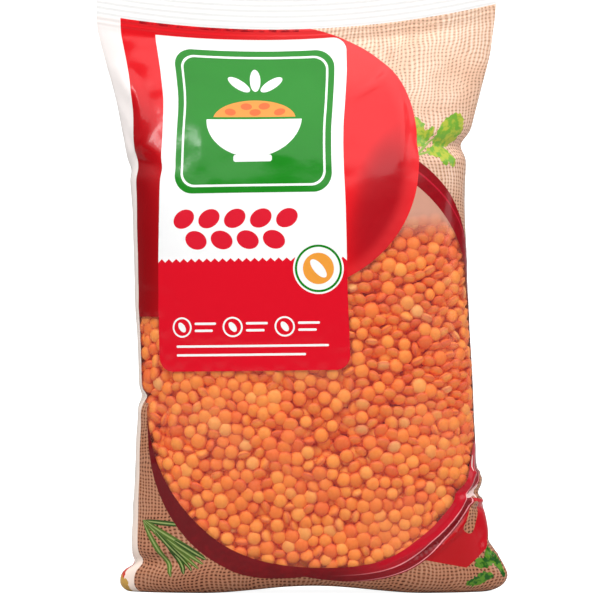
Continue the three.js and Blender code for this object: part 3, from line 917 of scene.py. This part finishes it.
def stretched(centre, radii, turn=0.0, where=None):
    """The square of the distance from a centre, in units of an ellipse's radii."""
    u, v = along(centre, turn, where), along(centre, turn + math.pi / 2, where)
    wide = calc("MULTIPLY", calc("MULTIPLY", u, u), 1 / radii[0] ** 2)
    return calc("MULTIPLY_ADD", calc("MULTIPLY", v, v), 1 / radii[1] ** 2, wide)


def ellipse(centre, radii, turn=0.0, where=None):
    """A mask that is 1 inside an ellipse."""
    return calc("LESS_THAN", stretched(centre, radii, turn, where), 1.0)


def soft_spot(centre, radii, turn=0.0, edge=0.35):
    """A mask that fades from 1 inside an ellipse to 0 at its edge."""
    return soft_step(print_group, stretched(centre, radii, turn), 1.0, edge ** 2)


def above_line(start, end):
    """A mask that is 1 on the left of a line from start to end."""
    bearing = math.atan2(end[1] - start[1], end[0] - start[0])
    return calc("GREATER_THAN", along(start, bearing + math.pi / 2), 0.0)


def stroke(start, end, width, where=None):
    """A long thin leaf from one place to another."""
    middle = ((start[0] + end[0]) / 2, (start[1] + end[1]) / 2)
    run = (end[0] - start[0], end[1] - start[1])
    return ellipse(middle, (math.hypot(*run) / 2, width / 2), math.atan2(run[1], run[0]), where)


def panel(centre, half, radius=0.0, turn=0.0, where=None):
    """A mask that is 1 inside a panel, with round corners if it has a radius."""
    beyond = [calc("SUBTRACT", calc("ABSOLUTE", along(centre, bearing, where)), size - radius)
              for bearing, size in ((turn, half[0]), (turn + math.pi / 2, half[1]))]
    if radius == 0:
        return calc("LESS_THAN", calc("MAXIMUM", *beyond), 0.0)
    u, v = [calc("MAXIMUM", way, 0.0) for way in beyond]
    return calc("LESS_THAN", calc("MULTIPLY_ADD", u, u, calc("MULTIPLY", v, v)), radius ** 2)


def either(*masks):
    joined = masks[0]
    for mask in masks[1:]:
        joined = calc("MAXIMUM", joined, mask)
    return joined


def both_of(*masks):
    joined = masks[0]
    for mask in masks[1:]:
        joined = calc("MULTIPLY", joined, mask)
    return joined


def without(mask, hole):
    return calc("GREATER_THAN", mask, hole)


def above(level):
    return calc("GREATER_THAN", UP, level)


def right_of(place):
    return calc("GREATER_THAN", ACROSS, place)


def paint(under, mask, over):
    return blend(print_group, mask, under, over)


# %% Ground and leaves
RED = colour(230, 20, 30)
WHITE = (1, 1, 1, 1)
PRINT_TOP = 203.6
MARGIN_EDGE, STRIPE_EDGE, STRIPE_END = -61.6, -77.0, -84.0
THREADS_ACROSS, THREADS_UP = 1.45, 1.22       # millimetres from thread to thread
# Painted shade: the woven ground darkens toward the bottom of the bag, which faces down, away from the light
# above
low_shade = soft_step(print_group, UP, 196, 70)
cloth = add(print_group, "ShaderNodeGroup", node_tree=weave)
for name, value in (("Place", flat), ("Shade_Below", low_shade)):
    print_group.links.new(value, cloth.inputs[name])
for name, value in (("Across", THREADS_ACROSS), ("Up", THREADS_UP)):
    cloth.inputs[name].default_value = value
dim = blend(print_group, low_shade, WHITE, colour(200, 164, 144))
ink = blend(print_group, 1.0, cloth.outputs["Color"], dim, "MULTIPLY")

LEAF_GREEN, LEAF_YELLOW = colour(118, 172, 58), colour(182, 190, 66)
herb = blend(print_group, soft_step(print_group, wobble.outputs[0], 0.4, 0.6),
             LEAF_GREEN, LEAF_YELLOW)
HERB_LOBES = [      # centre, radii and turn
    ((45.6, 160.6), (2.7, 5.8), 0.38), ((49.4, 159.0), (1.7, 3.8), -0.5), ((43.6, 157.0), (1.6, 3.0), 0.5),
    ((57.4, 161.8), (3.4, 6.6), -0.75), ((61.0, 160.4), (2.7, 5.6), -0.25), ((58.0, 157.4), (5.6, 2.2), 0.15),
    ((54.0, 153.4), (5.4, 2.0), 0.06), ((58.0, 151.4), (1.9, 3.4), 0.3), ((55.2, 151.0), (1.7, 2.4), -0.2),
]
ink = paint(ink, either(*[ellipse(*lobe, where=ragged) for lobe in HERB_LOBES]), herb)
stalks = [stroke((43.4, 151.8), tip, width) for tip, width in (((53.6, 158.4), 0.9), ((51.0, 153.6), 0.8))]
ink = paint(ink, either(*stalks), colour(150, 178, 84))

NEEDLES = [         # root, tip and width
    ((-59.2, 25.4), (-37.4, 10.4), 1.9), ((-58.6, 25.2), (-42.4, 23.8), 1.5),
    ((-58.4, 25.4), (-36.6, 12.8), 1.7), ((-50.6, 19.8), (-43.2, 6.8), 1.7),
    ((-58.8, 24.8), (-47.4, 5.8), 1.7), ((-46.8, 18.6), (-36.2, 12.0), 1.6),
    ((-57.0, 24.0), (-39.0, 8.8), 1.6), ((-54.0, 22.0), (-41.0, 8.0), 1.4),
]
NEEDLE_GREENS = (colour(84, 112, 40), colour(48, 78, 26))
for number, (root, tip, width) in enumerate(NEEDLES):
    ink = paint(ink, stroke(root, tip, width * 1.25), NEEDLE_GREENS[number % 2])
    ink = paint(ink, stroke(root, tip, width * 0.34), colour(150, 168, 96))

# %% Band round the window
RIM_RED, GROOVE_RED = colour(196, 16, 38), colour(140, 14, 26)
GLEAM, FOLD_GLEAM = colour(244, 150, 156), colour(246, 214, 208)
lower_leaf = blend(print_group, soft_step(print_group, wobble.outputs[0], 0.42, 0.58),
                   colour(24, 88, 18), colour(92, 142, 36))
LOWER_LEAVES = [    # centre, radii and turn
    ((60.4, 10.6), (5.2, 1.9), 0.15), ((66.0, 9.8), (1.7, 4.6), 0.1),
    ((57.4, 4.8), (5.2, 2.0), 0.3), ((63.0, 13.6), (1.5, 2.8), -0.7),
]
ink = paint(ink, either(*[ellipse(*leaf, where=ragged) for leaf in LOWER_LEAVES]), lower_leaf)

window = either(ellipse(WINDOW["centre"], WINDOW["radii"], WINDOW["turn"]),
                panel(WINDOW_LEFT["centre"], WINDOW_LEFT["half"], 2.0),
                panel(WINDOW_RIGHT["centre"], WINDOW_RIGHT["half"], 12.0))
PATCH_SIDES = [((36, 12.2), (52, 8.9)), ((52, 8.9), (63, 15.6)), ((63, 15.6), (72, 28.5)),
               ((76, 31.0), (50, 34.5))]
corner_patch = both_of(*[above_line(*side) for side in PATCH_SIDES], right_of(34))
tongue = panel((57.9, 26.4), (6.0, 2.2), 2.1, 1.11)
patch_shade = blend(print_group, soft_step(print_group, ACROSS, 50, 68),
                    colour(186, 0, 14), colour(206, 10, 32))
ink = paint(ink, without(corner_patch, tongue), patch_shade)
# Painted highlights on the folds at the lower right of the window
FOLD_GLINTS = [((56.4, 33.4), (62.2, 35.2), 1.7), ((62.6, 37.6), (61.0, 33.0), 1.3),
               ((61.8, 48.0), (60.2, 42.4), 1.0)]
fold_shine = either(*[stroke(*glint) for glint in FOLD_GLINTS])

RIM_CENTRE, RIM_RADII, RIM_MEAN = (6.0, 80.0), (67.0, 77.3), 70.0
rim_way = calc("SQRT", stretched(RIM_CENTRE, RIM_RADII, WINDOW["turn"]))
rim_way = calc("MULTIPLY_ADD", rim_way, RIM_MEAN, -RIM_MEAN)


def rim_between(low, high):
    """A mask that is 1 between two distances in millimetres from the middle line of the rim."""
    return both_of(calc("GREATER_THAN", rim_way, low), calc("LESS_THAN", rim_way, high))


outer = ellipse((5.7, 80.4), (59.5, 79.9), -0.409)
streak = calc("MULTIPLY_ADD", wobble.outputs[0], 0.8, -0.15)
# The band grows lighter toward the right: partly the ink's own tone, partly painted light
band_shade = blend(print_group, calc("ADD", calc("MULTIPLY_ADD", ACROSS, 0.008, 0.1), streak),
                   colour(108, 0, 10), colour(154, 0, 18))
rim_limit = calc("MULTIPLY_ADD", soft_step(print_group, ACROSS, 24, -30), -4.5, 1.8)
ink = paint(ink, either(outer, both_of(calc("LESS_THAN", rim_way, rim_limit), right_of(-30))), band_shade)
low_right = calc("MULTIPLY", soft_step(print_group, ACROSS, 4, 34), calc("LESS_THAN", UP, 60))
ink = paint(ink, both_of(calc("LESS_THAN", rim_way, -0.8), low_right), RIM_RED)
ink = paint(ink, both_of(rim_between(-0.8, 1.2), low_right), GROOVE_RED)
gleams = either(rim_between(-1.15, -0.8), rim_between(1.2, 1.5))
ink = paint(ink, both_of(gleams, low_right), GLEAM)
ink = paint(ink, fold_shine, FOLD_GLEAM)
high_right = both_of(right_of(30), above(96))
ink = paint(ink, both_of(rim_between(0.1, 0.7), high_right), colour(190, 20, 44))

# %% Red field, pale margin and the clear window
red_field = either(ellipse(RED_DISC["centre"], RED_DISC["radii"]),
                   panel(RED_PANEL["centre"], RED_PANEL["half"]))
# The red field is darker toward its lower left. On the disc lie painted shade in a hollow on its right, a
# painted highlight along its top and a lighter painted band along its right edge
red_with_painted_light = blend(print_group, soft_spot((-66, 118), (26, 74), 0.0, 0.3), RED, colour(148, 0, 10))
for spot, strength, shade in ((((29, 134), (12, 34), -0.32, 0.2), 0.75, colour(150, 10, 24)),
                              (((14, 194), (46, 20), 0.0, 0.1), 0.4, colour(250, 76, 74))):
    red_with_painted_light = paint(red_with_painted_light, calc("MULTIPLY", soft_spot(*spot), strength), shade)
bright_rim = soft_step(print_group, stretched((-9.5, 154.2), (51.0, 51.0)), 0.84, 1.0)
bright_rim = calc("MULTIPLY", bright_rim, soft_step(print_group, ACROSS, 2, 26))
red_with_painted_light = paint(red_with_painted_light, calc("MULTIPLY", bright_rim, 0.4), colour(244, 56, 60))
clear = without(window, red_field)
clear = both_of(clear, right_of(MARGIN_EDGE))
ink = paint(ink, red_field, red_with_painted_light)

margin = both_of(calc("LESS_THAN", ACROSS, MARGIN_EDGE), right_of(STRIPE_EDGE))
margin_shade = blend(print_group, soft_step(print_group, UP, 60, 170),
                     colour(255, 234, 220), colour(254, 246, 243))
ink = paint(ink, margin, margin_shade)
ink = paint(ink, both_of(calc("LESS_THAN", ACROSS, STRIPE_EDGE), right_of(STRIPE_END)), RED)
ink = paint(ink, ellipse((-70.5, 6.0), (4.0, 4.6), 0.4, where=ragged), colour(214, 60, 40))
ink = paint(ink, ellipse((-69.0, 2.4), (5.0, 3.0), 0.0, where=ragged), colour(206, 160, 74))

# %% [markdown]
# The label is one tall panel, white above and red below, with a common zigzag edge between
# them. It stands very slightly askew on the bag, so its own places lean a little. On it are a
# green panel with a bowl of lentils, two rows of red lentils, a round mark with one seed, three
# small round marks with short rules, and two long rules.

# %% The label
lean_up = calc("SUBTRACT", UP, LABEL["centre"][1])
lean_across = calc("SUBTRACT", ACROSS, LABEL["centre"][0])
label_x = calc("SUBTRACT", lean_across, calc("MULTIPLY", lean_up, LABEL["lean"][0]))
label_y = calc("SUBTRACT", lean_up, calc("MULTIPLY", lean_across, LABEL["lean"][1]))
on_label = add(print_group, "ShaderNodeCombineXYZ", {0: label_x, 1: label_y, 2: 1.0}).outputs[0]
half_x, half_y = LABEL["half"]
label = either(panel((0, 0), LABEL["half"], 5.2, where=on_label),
               panel((-half_x / 2, half_y / 2), (half_x / 2, half_y / 2), where=on_label))
ZIGZAG_LEVEL, ZIGZAG_PITCH, ZIGZAG_SIZE = -22.9, 2.8, 0.62
zig = calc("PINGPONG", label_x, ZIGZAG_PITCH / 2)
zig = calc("MULTIPLY_ADD", zig, 2 * ZIGZAG_SIZE / (ZIGZAG_PITCH / 2), ZIGZAG_LEVEL - ZIGZAG_SIZE)
lower = calc("LESS_THAN", label_y, zig)
ink = paint(ink, label, colour(252, 252, 252))
ink = paint(ink, both_of(label, lower), colour(224, 12, 36))

GREEN, PALE, SEED_ORANGE = colour(14, 132, 16), colour(250, 252, 250), colour(243, 160, 60)
GREEN_HALF = (28.6, 28.4)
green_at = (0.6, half_y - 4.2 - GREEN_HALF[1])
green = panel(green_at, GREEN_HALF, 7.0, where=on_label)
ink = paint(ink, green, GREEN)
keyline = without(panel(green_at, (26.4, 26.2), 5.4, where=on_label),
                  panel(green_at, (25.6, 25.4), 4.8, where=on_label))
ink = paint(ink, keyline, PALE)
bowl_at = (green_at[0], green_at[1] - 1.0)
bowl = both_of(ellipse(bowl_at, (17.5, 15.0), where=on_label),
               calc("LESS_THAN", label_y, bowl_at[1]))
foot = panel((bowl_at[0], bowl_at[1] - 15.4), (7.0, 1.2), 0.8, where=on_label)
heap = both_of(ellipse(bowl_at, (15.2, 8.4), where=on_label),
               calc("GREATER_THAN", label_y, bowl_at[1] + 1.0))
ink = paint(ink, either(bowl, foot), PALE)
ink = paint(ink, heap, colour(244, 150, 60))
for x, y in ((-9, 3.2), (-3.2, 5.6), (3.4, 5.8), (9.2, 3.2), (0.2, 3.0)):
    seed_mark = ellipse((bowl_at[0] + x, bowl_at[1] + y), (2.1, 1.5), 0.3 * x / 9, where=on_label)
    ink = paint(ink, seed_mark, colour(226, 104, 44))
for turn in (-0.9, 0.0, 0.9):
    tip = (bowl_at[0] + 7.5 * math.sin(turn), bowl_at[1] + 12.6 + 4.6 * math.cos(turn))
    sprig = ellipse(tip, (1.9, 4.8), -turn, where=on_label)
    ink = paint(ink, sprig, PALE)

# %% Marks on the lower label
SEED_PITCH, SEED_RADII, SEED_ROOM = 9.2, (4.0, 3.1), 4.2


def repeated(first, pitch):
    """Places on the label that start anew at each pitch across, counted from the first mark."""
    share = calc("ADD", calc("DIVIDE", calc("SUBTRACT", label_x, first), pitch), 0.5)
    local = calc("MULTIPLY", calc("SUBTRACT", calc("FRACT", share), 0.5), pitch)
    return add(print_group, "ShaderNodeCombineXYZ", {0: local, 1: label_y, 2: 1.0}).outputs[0]


for first, count, level, turn in ((-24.0, 5, -8.6, 0.5), (-19.4, 4, -16.0, -0.4)):
    row = panel((first + (count - 1) / 2 * SEED_PITCH, level),
                (count / 2 * SEED_PITCH, SEED_ROOM), where=on_label)
    seeds = ellipse((0, level), SEED_RADII, turn, repeated(first, SEED_PITCH))
    ink = paint(ink, both_of(row, seeds), colour(222, 26, 48))

MARK_MIDDLE, MARK_PITCH, MARK_LEVEL = -19.6, 18.0, -46.0
mark_place = repeated(MARK_MIDDLE, MARK_PITCH)
mark_row = panel((MARK_MIDDLE + MARK_PITCH, MARK_LEVEL), (1.5 * MARK_PITCH, 4.0), where=on_label)
mark_at = (-5.0, MARK_LEVEL)
mark = without(ellipse(mark_at, (3.5, 3.5), where=mark_place),
               ellipse(mark_at, (2.9, 2.9), where=mark_place))
mark = either(mark, ellipse(mark_at, (1.1, 1.9), 0.6, mark_place),
              panel((3.4, MARK_LEVEL + 1.2), (3.8, 0.42), 0.4, where=mark_place),
              panel((2.8, MARK_LEVEL - 1.2), (3.2, 0.42), 0.4, where=mark_place))
rules = either(panel((-0.2, -52.6), (26.6, 0.4), 0.35, where=on_label),
               panel((-4.2, -55.6), (22.6, 0.4), 0.35, where=on_label))
ink = paint(ink, either(both_of(mark_row, mark), rules), PALE)

round_at = (23.6, -26.2)
ink = paint(ink, ellipse(round_at, (8.8, 8.8), where=on_label), PALE)
ring_mark = without(ellipse(round_at, (8.2, 8.2), where=on_label),
                    ellipse(round_at, (7.4, 7.4), where=on_label))
ink = paint(ink, ring_mark, GREEN)
ink = paint(ink, ellipse(round_at, (5.4, 5.4), where=on_label), SEED_ORANGE)
ink = paint(ink, ellipse(round_at, (1.7, 3.9), 0.7, where=on_label), PALE)

# %% [markdown]
# The back of such a bag carries a panel on each side of the fin seal. As the distance from the
# middle of the front is the same for both, one drawing makes the two. The dark broken line just
# under the top seal is painted shade along the crinkle that the sealing jaws left at the top
# edge of the red ink.

# %% Plain panels on the back, the seal band, and the group's outputs
PANEL_AT, PANEL_HALF, PANEL_MARGIN = 104.0, 21.0, 3.5
LINE_PITCH, LINE_HALF = 2.6, 0.28
from_middle = calc("ABSOLUTE", ACROSS)
both_sides = add(print_group, "ShaderNodeCombineXYZ", {0: from_middle, 1: UP, 2: 1.0}).outputs[0]
ink = paint(ink, panel((PANEL_AT, 118.0), (PANEL_HALF, 44.0), 4.0, where=both_sides),
            colour(244, 240, 234))
lines = calc("LESS_THAN", calc("PINGPONG", UP, LINE_PITCH), LINE_HALF)
line_half = PANEL_HALF - PANEL_MARGIN
lined = panel((PANEL_AT, 110.0), (line_half, 30.0), where=both_sides)
ink = paint(ink, both_of(lines, lined), colour(190, 176, 166))
ink = paint(ink, panel((PANEL_AT, 152.0), (line_half, 5.0), 2.0, where=both_sides), RED)
seal_band = above(PRINT_TOP)
ink = paint(ink, seal_band, colour(254, 253, 252))
# Painted shade along the crinkle just under the top seal
painted_crease_shade = both_of(panel((-27.0, 203.1), (28.0, 0.5)),
                  soft_step(print_group, wobble.outputs[0], 0.34, 0.66))
ink = paint(ink, painted_crease_shade, colour(150, 6, 20))
clear = without(clear, either(label, seal_band))
inked = calc("SUBTRACT", 1.0, clear)
headspace = soft_step(print_group, UP, FILL_LEVEL - 10, FILL_LEVEL + 2)
for name, value in (("Color", ink), ("Ink", inked), ("Haze", headspace)):
    print_group.links.new(value, print_out.inputs[name])
print("print of", len(print_group.nodes), "nodes")

# %% [markdown]
# The film's material is glossy plastic with the print as its colour. In the window it is nearly
# see-through, with a faint shine and a thin haze of flour from the lentils, which is thicker
# above them where the film hangs free. Fine crinkles finer than the mesh come from a Bump node.
# The faces in and near the window get the clear material, and all others an opaque one, so that
# only the window is see-through in a program that sorts clear faces by their depth.


# %% Film materials
FILM_ROUGHNESS, BARE_SMOOTHER = 0.15, -0.03
FILM_GLOSS = 0.3
LEAST_HAZE, DUST_HAZE, HEADSPACE_HAZE, EDGE_HAZE = 0.07, 0.08, 0.66, 0.45
BARE_METAL = 0.3         # makes the shine of the bare film take its colour
DUSTY, DUSTY_HEADSPACE = colour(240, 168, 136), colour(236, 176, 152)


def film_look(name, has_window):
    look = bpy.data.materials.new(name)
    look.use_nodes = True
    tree = look.node_tree
    shader = tree.nodes["Principled BSDF"]
    uv = add(tree, "ShaderNodeUVMap", uv_map=film.data.uv_layers.active.name)
    printed = add(tree, "ShaderNodeGroup", {"Flat": uv.outputs[0]}, node_tree=print_group)
    where = add(tree, "ShaderNodeTexCoord").outputs["Object"]
    crinkles = add(tree, "ShaderNodeTexNoise", {"Vector": where, "Scale": 190.0, "Detail": 3.0})
    bump = add(tree, "ShaderNodeBump",
               {"Height": crinkles.outputs[0], "Strength": 0.3, "Distance": 0.3 * MM})
    tree.links.new(bump.outputs[0], shader.inputs["Normal"])
    shader.inputs["Specular IOR Level"].default_value = FILM_GLOSS
    if not has_window:
        tree.links.new(printed.outputs["Color"], shader.inputs["Base Color"])
        shader.inputs["Roughness"].default_value = FILM_ROUGHNESS
        return look
    inked = printed.outputs["Ink"]
    dust = add(tree, "ShaderNodeTexNoise", {"Vector": uv.outputs[0], "Scale": 14.0, "Detail": 4.0})
    dusty = soft_step(tree, dust.outputs[0], 0.42, 0.72)
    haze = sum_of(tree, "MULTIPLY_ADD", dusty, DUST_HAZE, LEAST_HAZE)
    haze = sum_of(tree, "MULTIPLY_ADD", printed.outputs["Haze"], HEADSPACE_HAZE, haze)
    edge_on = add(tree, "ShaderNodeLayerWeight", {"Blend": 0.25}).outputs["Facing"]
    haze = sum_of(tree, "MULTIPLY_ADD", sum_of(tree, "POWER", edge_on, 3.0), EDGE_HAZE, haze)
    tree.links.new(sum_of(tree, "MAXIMUM", inked, haze), shader.inputs["Alpha"])
    clear_colour = blend(tree, printed.outputs["Haze"], DUSTY, DUSTY_HEADSPACE)
    film_colour = blend(tree, inked, clear_colour, printed.outputs["Color"])
    tree.links.new(film_colour, shader.inputs["Base Color"])
    bare = sum_of(tree, "SUBTRACT", 1.0, sum_of(tree, "MAXIMUM", inked, printed.outputs["Haze"]))
    tree.links.new(sum_of(tree, "MULTIPLY", bare, BARE_METAL), shader.inputs["Metallic"])
    rough = sum_of(tree, "MULTIPLY_ADD", bare, BARE_SMOOTHER, FILM_ROUGHNESS)
    tree.links.new(rough, shader.inputs["Roughness"])
    look.surface_render_method = "DITHERED"
    return look


for piece in (film, fin):
    piece.data.materials.clear()
film.data.materials.append(film_look("printed_film", False))
film.data.materials.append(film_look("window_film", True))
fin.data.materials.append(film.data.materials[0])

# %% Which faces are window
face_count = len(film.data.polygons)
corner_uv = np.empty(len(film.data.loops) * 2)
film.data.uv_layers.active.data.foreach_get("uv", corner_uv)
corner_flat = corner_uv.reshape(-1, 2) * (FLAT_WIDTH, FLAT_HEIGHT) + (-FLAT_WIDTH / 2, FLAT_BOTTOM)
near = in_window(corner_flat[:, 0], corner_flat[:, 1], 1.0) & (corner_flat[:, 1] > 1)
first_corner = np.empty(face_count, int)
film.data.polygons.foreach_get("loop_start", first_corner)
window_faces = np.maximum.reduceat(near.astype(int), first_corner)
film.data.polygons.foreach_set("material_index", window_faces)
film.data.update()
print(window_faces.sum(), "of", face_count, "faces are window")

# %% [markdown]
# Hulled lentils are orange, some redder and a few pale or yellowish, with a dry, slightly waxy
# skin. The tint attribute picks each one's colour along a ramp, and a fine noise mottles it. The
# thin rim is redder, as light comes out there that has passed through the neighbours, and a
# faint glow of that colour stands for the light that the lentils pass on among themselves.


# %% Lentil materials
LENTIL_COLOURS = [(0.0, colour(238, 110, 36)), (0.2, colour(247, 132, 42)), (0.6, colour(251, 148, 52)),
                  (0.92, colour(252, 162, 66)), (0.98, colour(248, 172, 86)), (1.0, colour(240, 180, 108))]
# The core's colours are darker and redder than any lentil's: painted shade for the lentils deep in the gaps
CORE_SHADE_COLOURS = [(0.0, colour(196, 66, 60)), (0.6, colour(150, 36, 50))]
MOTTLE, MOTTLE_SHARE = colour(226, 92, 40), 0.2
RIM_COLOUR, RIM_SHARE = colour(206, 64, 52), 0.66
GLOW, GLOW_STRENGTH = colour(205, 40, 84), 0.09


def lentil_look(name, darker):
    look = bpy.data.materials.new(name)
    look.use_nodes = True
    tree = look.node_tree
    shader = tree.nodes["Principled BSDF"]
    if darker:
        grain = add(tree, "ShaderNodeTexCoord").outputs["Object"]
        tint = add(tree, "ShaderNodeTexVoronoi", {"Vector": grain, "Scale": 210.0}).outputs["Distance"]
    else:
        tint = add(tree, "ShaderNodeAttribute", attribute_name="tint").outputs["Fac"]
    ramp_colours = CORE_SHADE_COLOURS if darker else LENTIL_COLOURS
    ramp = add(tree, "ShaderNodeValToRGB", {"Fac": tint})
    while len(ramp.color_ramp.elements) < len(ramp_colours):
        ramp.color_ramp.elements.new(1.0)
    for element, (place, shade) in zip(ramp.color_ramp.elements, ramp_colours):
        element.position, element.color = place, shade
    where = add(tree, "ShaderNodeTexCoord").outputs["Object"]
    mottle = add(tree, "ShaderNodeTexNoise", {"Vector": where, "Scale": 420.0, "Detail": 3.0})
    mottled = soft_step(tree, mottle.outputs[0], 0.35, 0.7)
    shade = blend(tree, sum_of(tree, "MULTIPLY", mottled, MOTTLE_SHARE), ramp.outputs[0], MOTTLE)
    if not darker:
        rim = add(tree, "ShaderNodeAttribute", attribute_name="rim").outputs["Fac"]
        rim = sum_of(tree, "MULTIPLY", sum_of(tree, "POWER", rim, 2.0), RIM_SHARE)
        shade = blend(tree, rim, shade, RIM_COLOUR)
    tree.links.new(shade, shader.inputs["Base Color"])
    for socket, value in (("Emission Color", GLOW), ("Emission Strength", GLOW_STRENGTH),
                          ("Specular IOR Level", 0.35), ("Roughness", 0.5)):
        shader.inputs[socket].default_value = value
    bump = add(tree, "ShaderNodeBump",
               {"Height": mottle.outputs[0], "Strength": 0.2, "Distance": 0.2 * MM})
    tree.links.new(bump.outputs[0], shader.inputs["Normal"])
    return look


lentil_piece.data.materials.append(lentil_look("lentil", False))
core.data.materials.clear()
core.data.materials.append(lentil_look("lentil_core_shaded", True))

# %% [markdown]
# Each piece rides on the bag's one body. The film stands for the CAD solid, and with it the fin
# seal and what the film holds.

# %% Riding on the body
for piece in (film, fin, lentil_piece, core):
    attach(piece, "root")
    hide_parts("bag")

# %% [markdown]
# The bag stands on a white sweep, a floor that curves up behind it, so that no horizon shows. It
# is a mid grey that glows white only for the camera: it then looks white in the picture and
# doesn't wash out the bottom of the glossy bag with its reflection.

# %% Floor
deselect()
bpy.ops.mesh.primitive_plane_add(size=4.0, location=(0, 0, 0))
floor = new_piece("floor")
bpy.ops.object.mode_set(mode="EDIT")
bpy.ops.mesh.select_all(action="DESELECT")
bpy.ops.object.mode_set(mode="OBJECT")
for edge in floor.data.edges:
    ends = [floor.data.vertices[i].co.y for i in edge.vertices]
    edge.select = min(ends) > 1.9
bpy.ops.object.mode_set(mode="EDIT")
bpy.ops.mesh.extrude_region_move(TRANSFORM_OT_translate={"value": (0, 0, 2.4)})
bpy.ops.object.mode_set(mode="OBJECT")
sweep = floor.modifiers.new("sweep", "BEVEL")
sweep.width = 0.7
sweep.segments = 16
bpy.ops.object.modifier_apply(modifier="sweep")
bpy.ops.object.shade_smooth()
FLOOR_GREY, FLOOR_GLOW = 0.45, 0.95
floor_look = bpy.data.materials.new("studio_white")
floor_look.use_nodes = True
floor_tree = floor_look.node_tree
floor_shader = floor_tree.nodes["Principled BSDF"]
for socket, value in (("Base Color", (FLOOR_GREY, FLOOR_GREY, FLOOR_GREY, 1)), ("Roughness", 0.7),
                      ("Emission Color", WHITE)):
    floor_shader.inputs[socket].default_value = value
seen = add(floor_tree, "ShaderNodeLightPath").outputs["Is Camera Ray"]
glow = sum_of(floor_tree, "MULTIPLY", seen, FLOOR_GLOW)
floor_tree.links.new(glow, floor_shader.inputs["Emission Strength"])
floor.data.materials.append(floor_look)
print("floor of", len(floor.data.polygons), "faces")

# %% [markdown]
# The light is a studio's: one large soft box high in front, which brightens the top of the bag
# as it leans back, a small one on the left for the glints on the creases, a weak one on the
# right, and one behind for whoever walks round the bag. The sky is pale above and dim at level
# height, because the glossy film mirrors what stands level with it, and a pale mirror image
# would wash out the red.


# %% Lights
def soft_box(name, place, target, size, power):
    data = bpy.data.lights.new(name, "AREA")
    data.shape = "RECTANGLE"
    data.size, data.size_y = size
    data.energy = power
    lamp = bpy.data.objects.new(name, data)
    lamp.location = place
    lamp.rotation_euler = (Vector(target) - Vector(place)).to_track_quat("-Z", "Y").to_euler()
    bpy.context.scene.collection.objects.link(lamp)


# Name, place, what it points at, its two sides and its power in watts
SOFT_BOXES = [
    ("top_box", (0.0, -0.7, 1.22), (0, 0, 0.12), (2.6, 1.5), 23.0),
    ("glint_box", (-0.62, -0.8, 0.8), (0, 0, 0.12), (0.14, 0.14), 0.9),
    ("right_box", (1.05, -0.2, 0.45), (0, 0, 0.1), (0.3, 0.7), 1.2),
    ("back_box", (0.0, 1.3, 1.1), (0, 0, 0.1), (1.6, 1.2), 9.0),
]
for box in SOFT_BOXES:
    soft_box(*box)
print(len(SOFT_BOXES), "soft boxes")

LEVEL_LIGHT, HIGH_LIGHT, HIGH = 0.14, 0.6, 0.6
world = bpy.data.worlds.new("studio")
bpy.context.scene.world = world
world.use_nodes = True
sky = world.node_tree
background = sky.nodes["Background"]
background.inputs["Color"].default_value = WHITE
bearing = add(sky, "ShaderNodeTexCoord").outputs["Generated"]
upward = add(sky, "ShaderNodeSeparateXYZ", {0: bearing}).outputs[2]
surround = sum_of(sky, "MULTIPLY_ADD", soft_step(sky, upward, 0.0, HIGH), HIGH_LIGHT, LEVEL_LIGHT)
seen_directly = add(sky, "ShaderNodeLightPath").outputs["Is Camera Ray"]
sky.links.new(sum_of(sky, "MAXIMUM", seen_directly, surround), background.inputs["Strength"])
bpy.context.scene.view_settings.view_transform = "Standard"

# %% [markdown]
# The photograph was taken straight from the front with a long lens, and its frame cuts the
# seal at the top. At 0.35 mm of bag to a pixel, its 600 pixels are 210 mm.

# %% Camera
FRAME_WIDTH = 0.210
CAMERA_AWAY = 1.4
SENSOR_WIDTH = 36.0
camera_data = bpy.data.cameras.new("camera")
camera_data.sensor_width = SENSOR_WIDTH
camera_data.lens = SENSOR_WIDTH * CAMERA_AWAY / FRAME_WIDTH
camera_data.clip_start = 0.05
camera = bpy.data.objects.new("camera", camera_data)
camera.location = (-0.0007, -CAMERA_AWAY, 0.1018)
camera.rotation_euler = (math.pi / 2, 0, 0)
bpy.context.scene.collection.objects.link(camera)
bpy.context.scene.camera = camera
print("lens of", round(camera_data.lens), "mm")
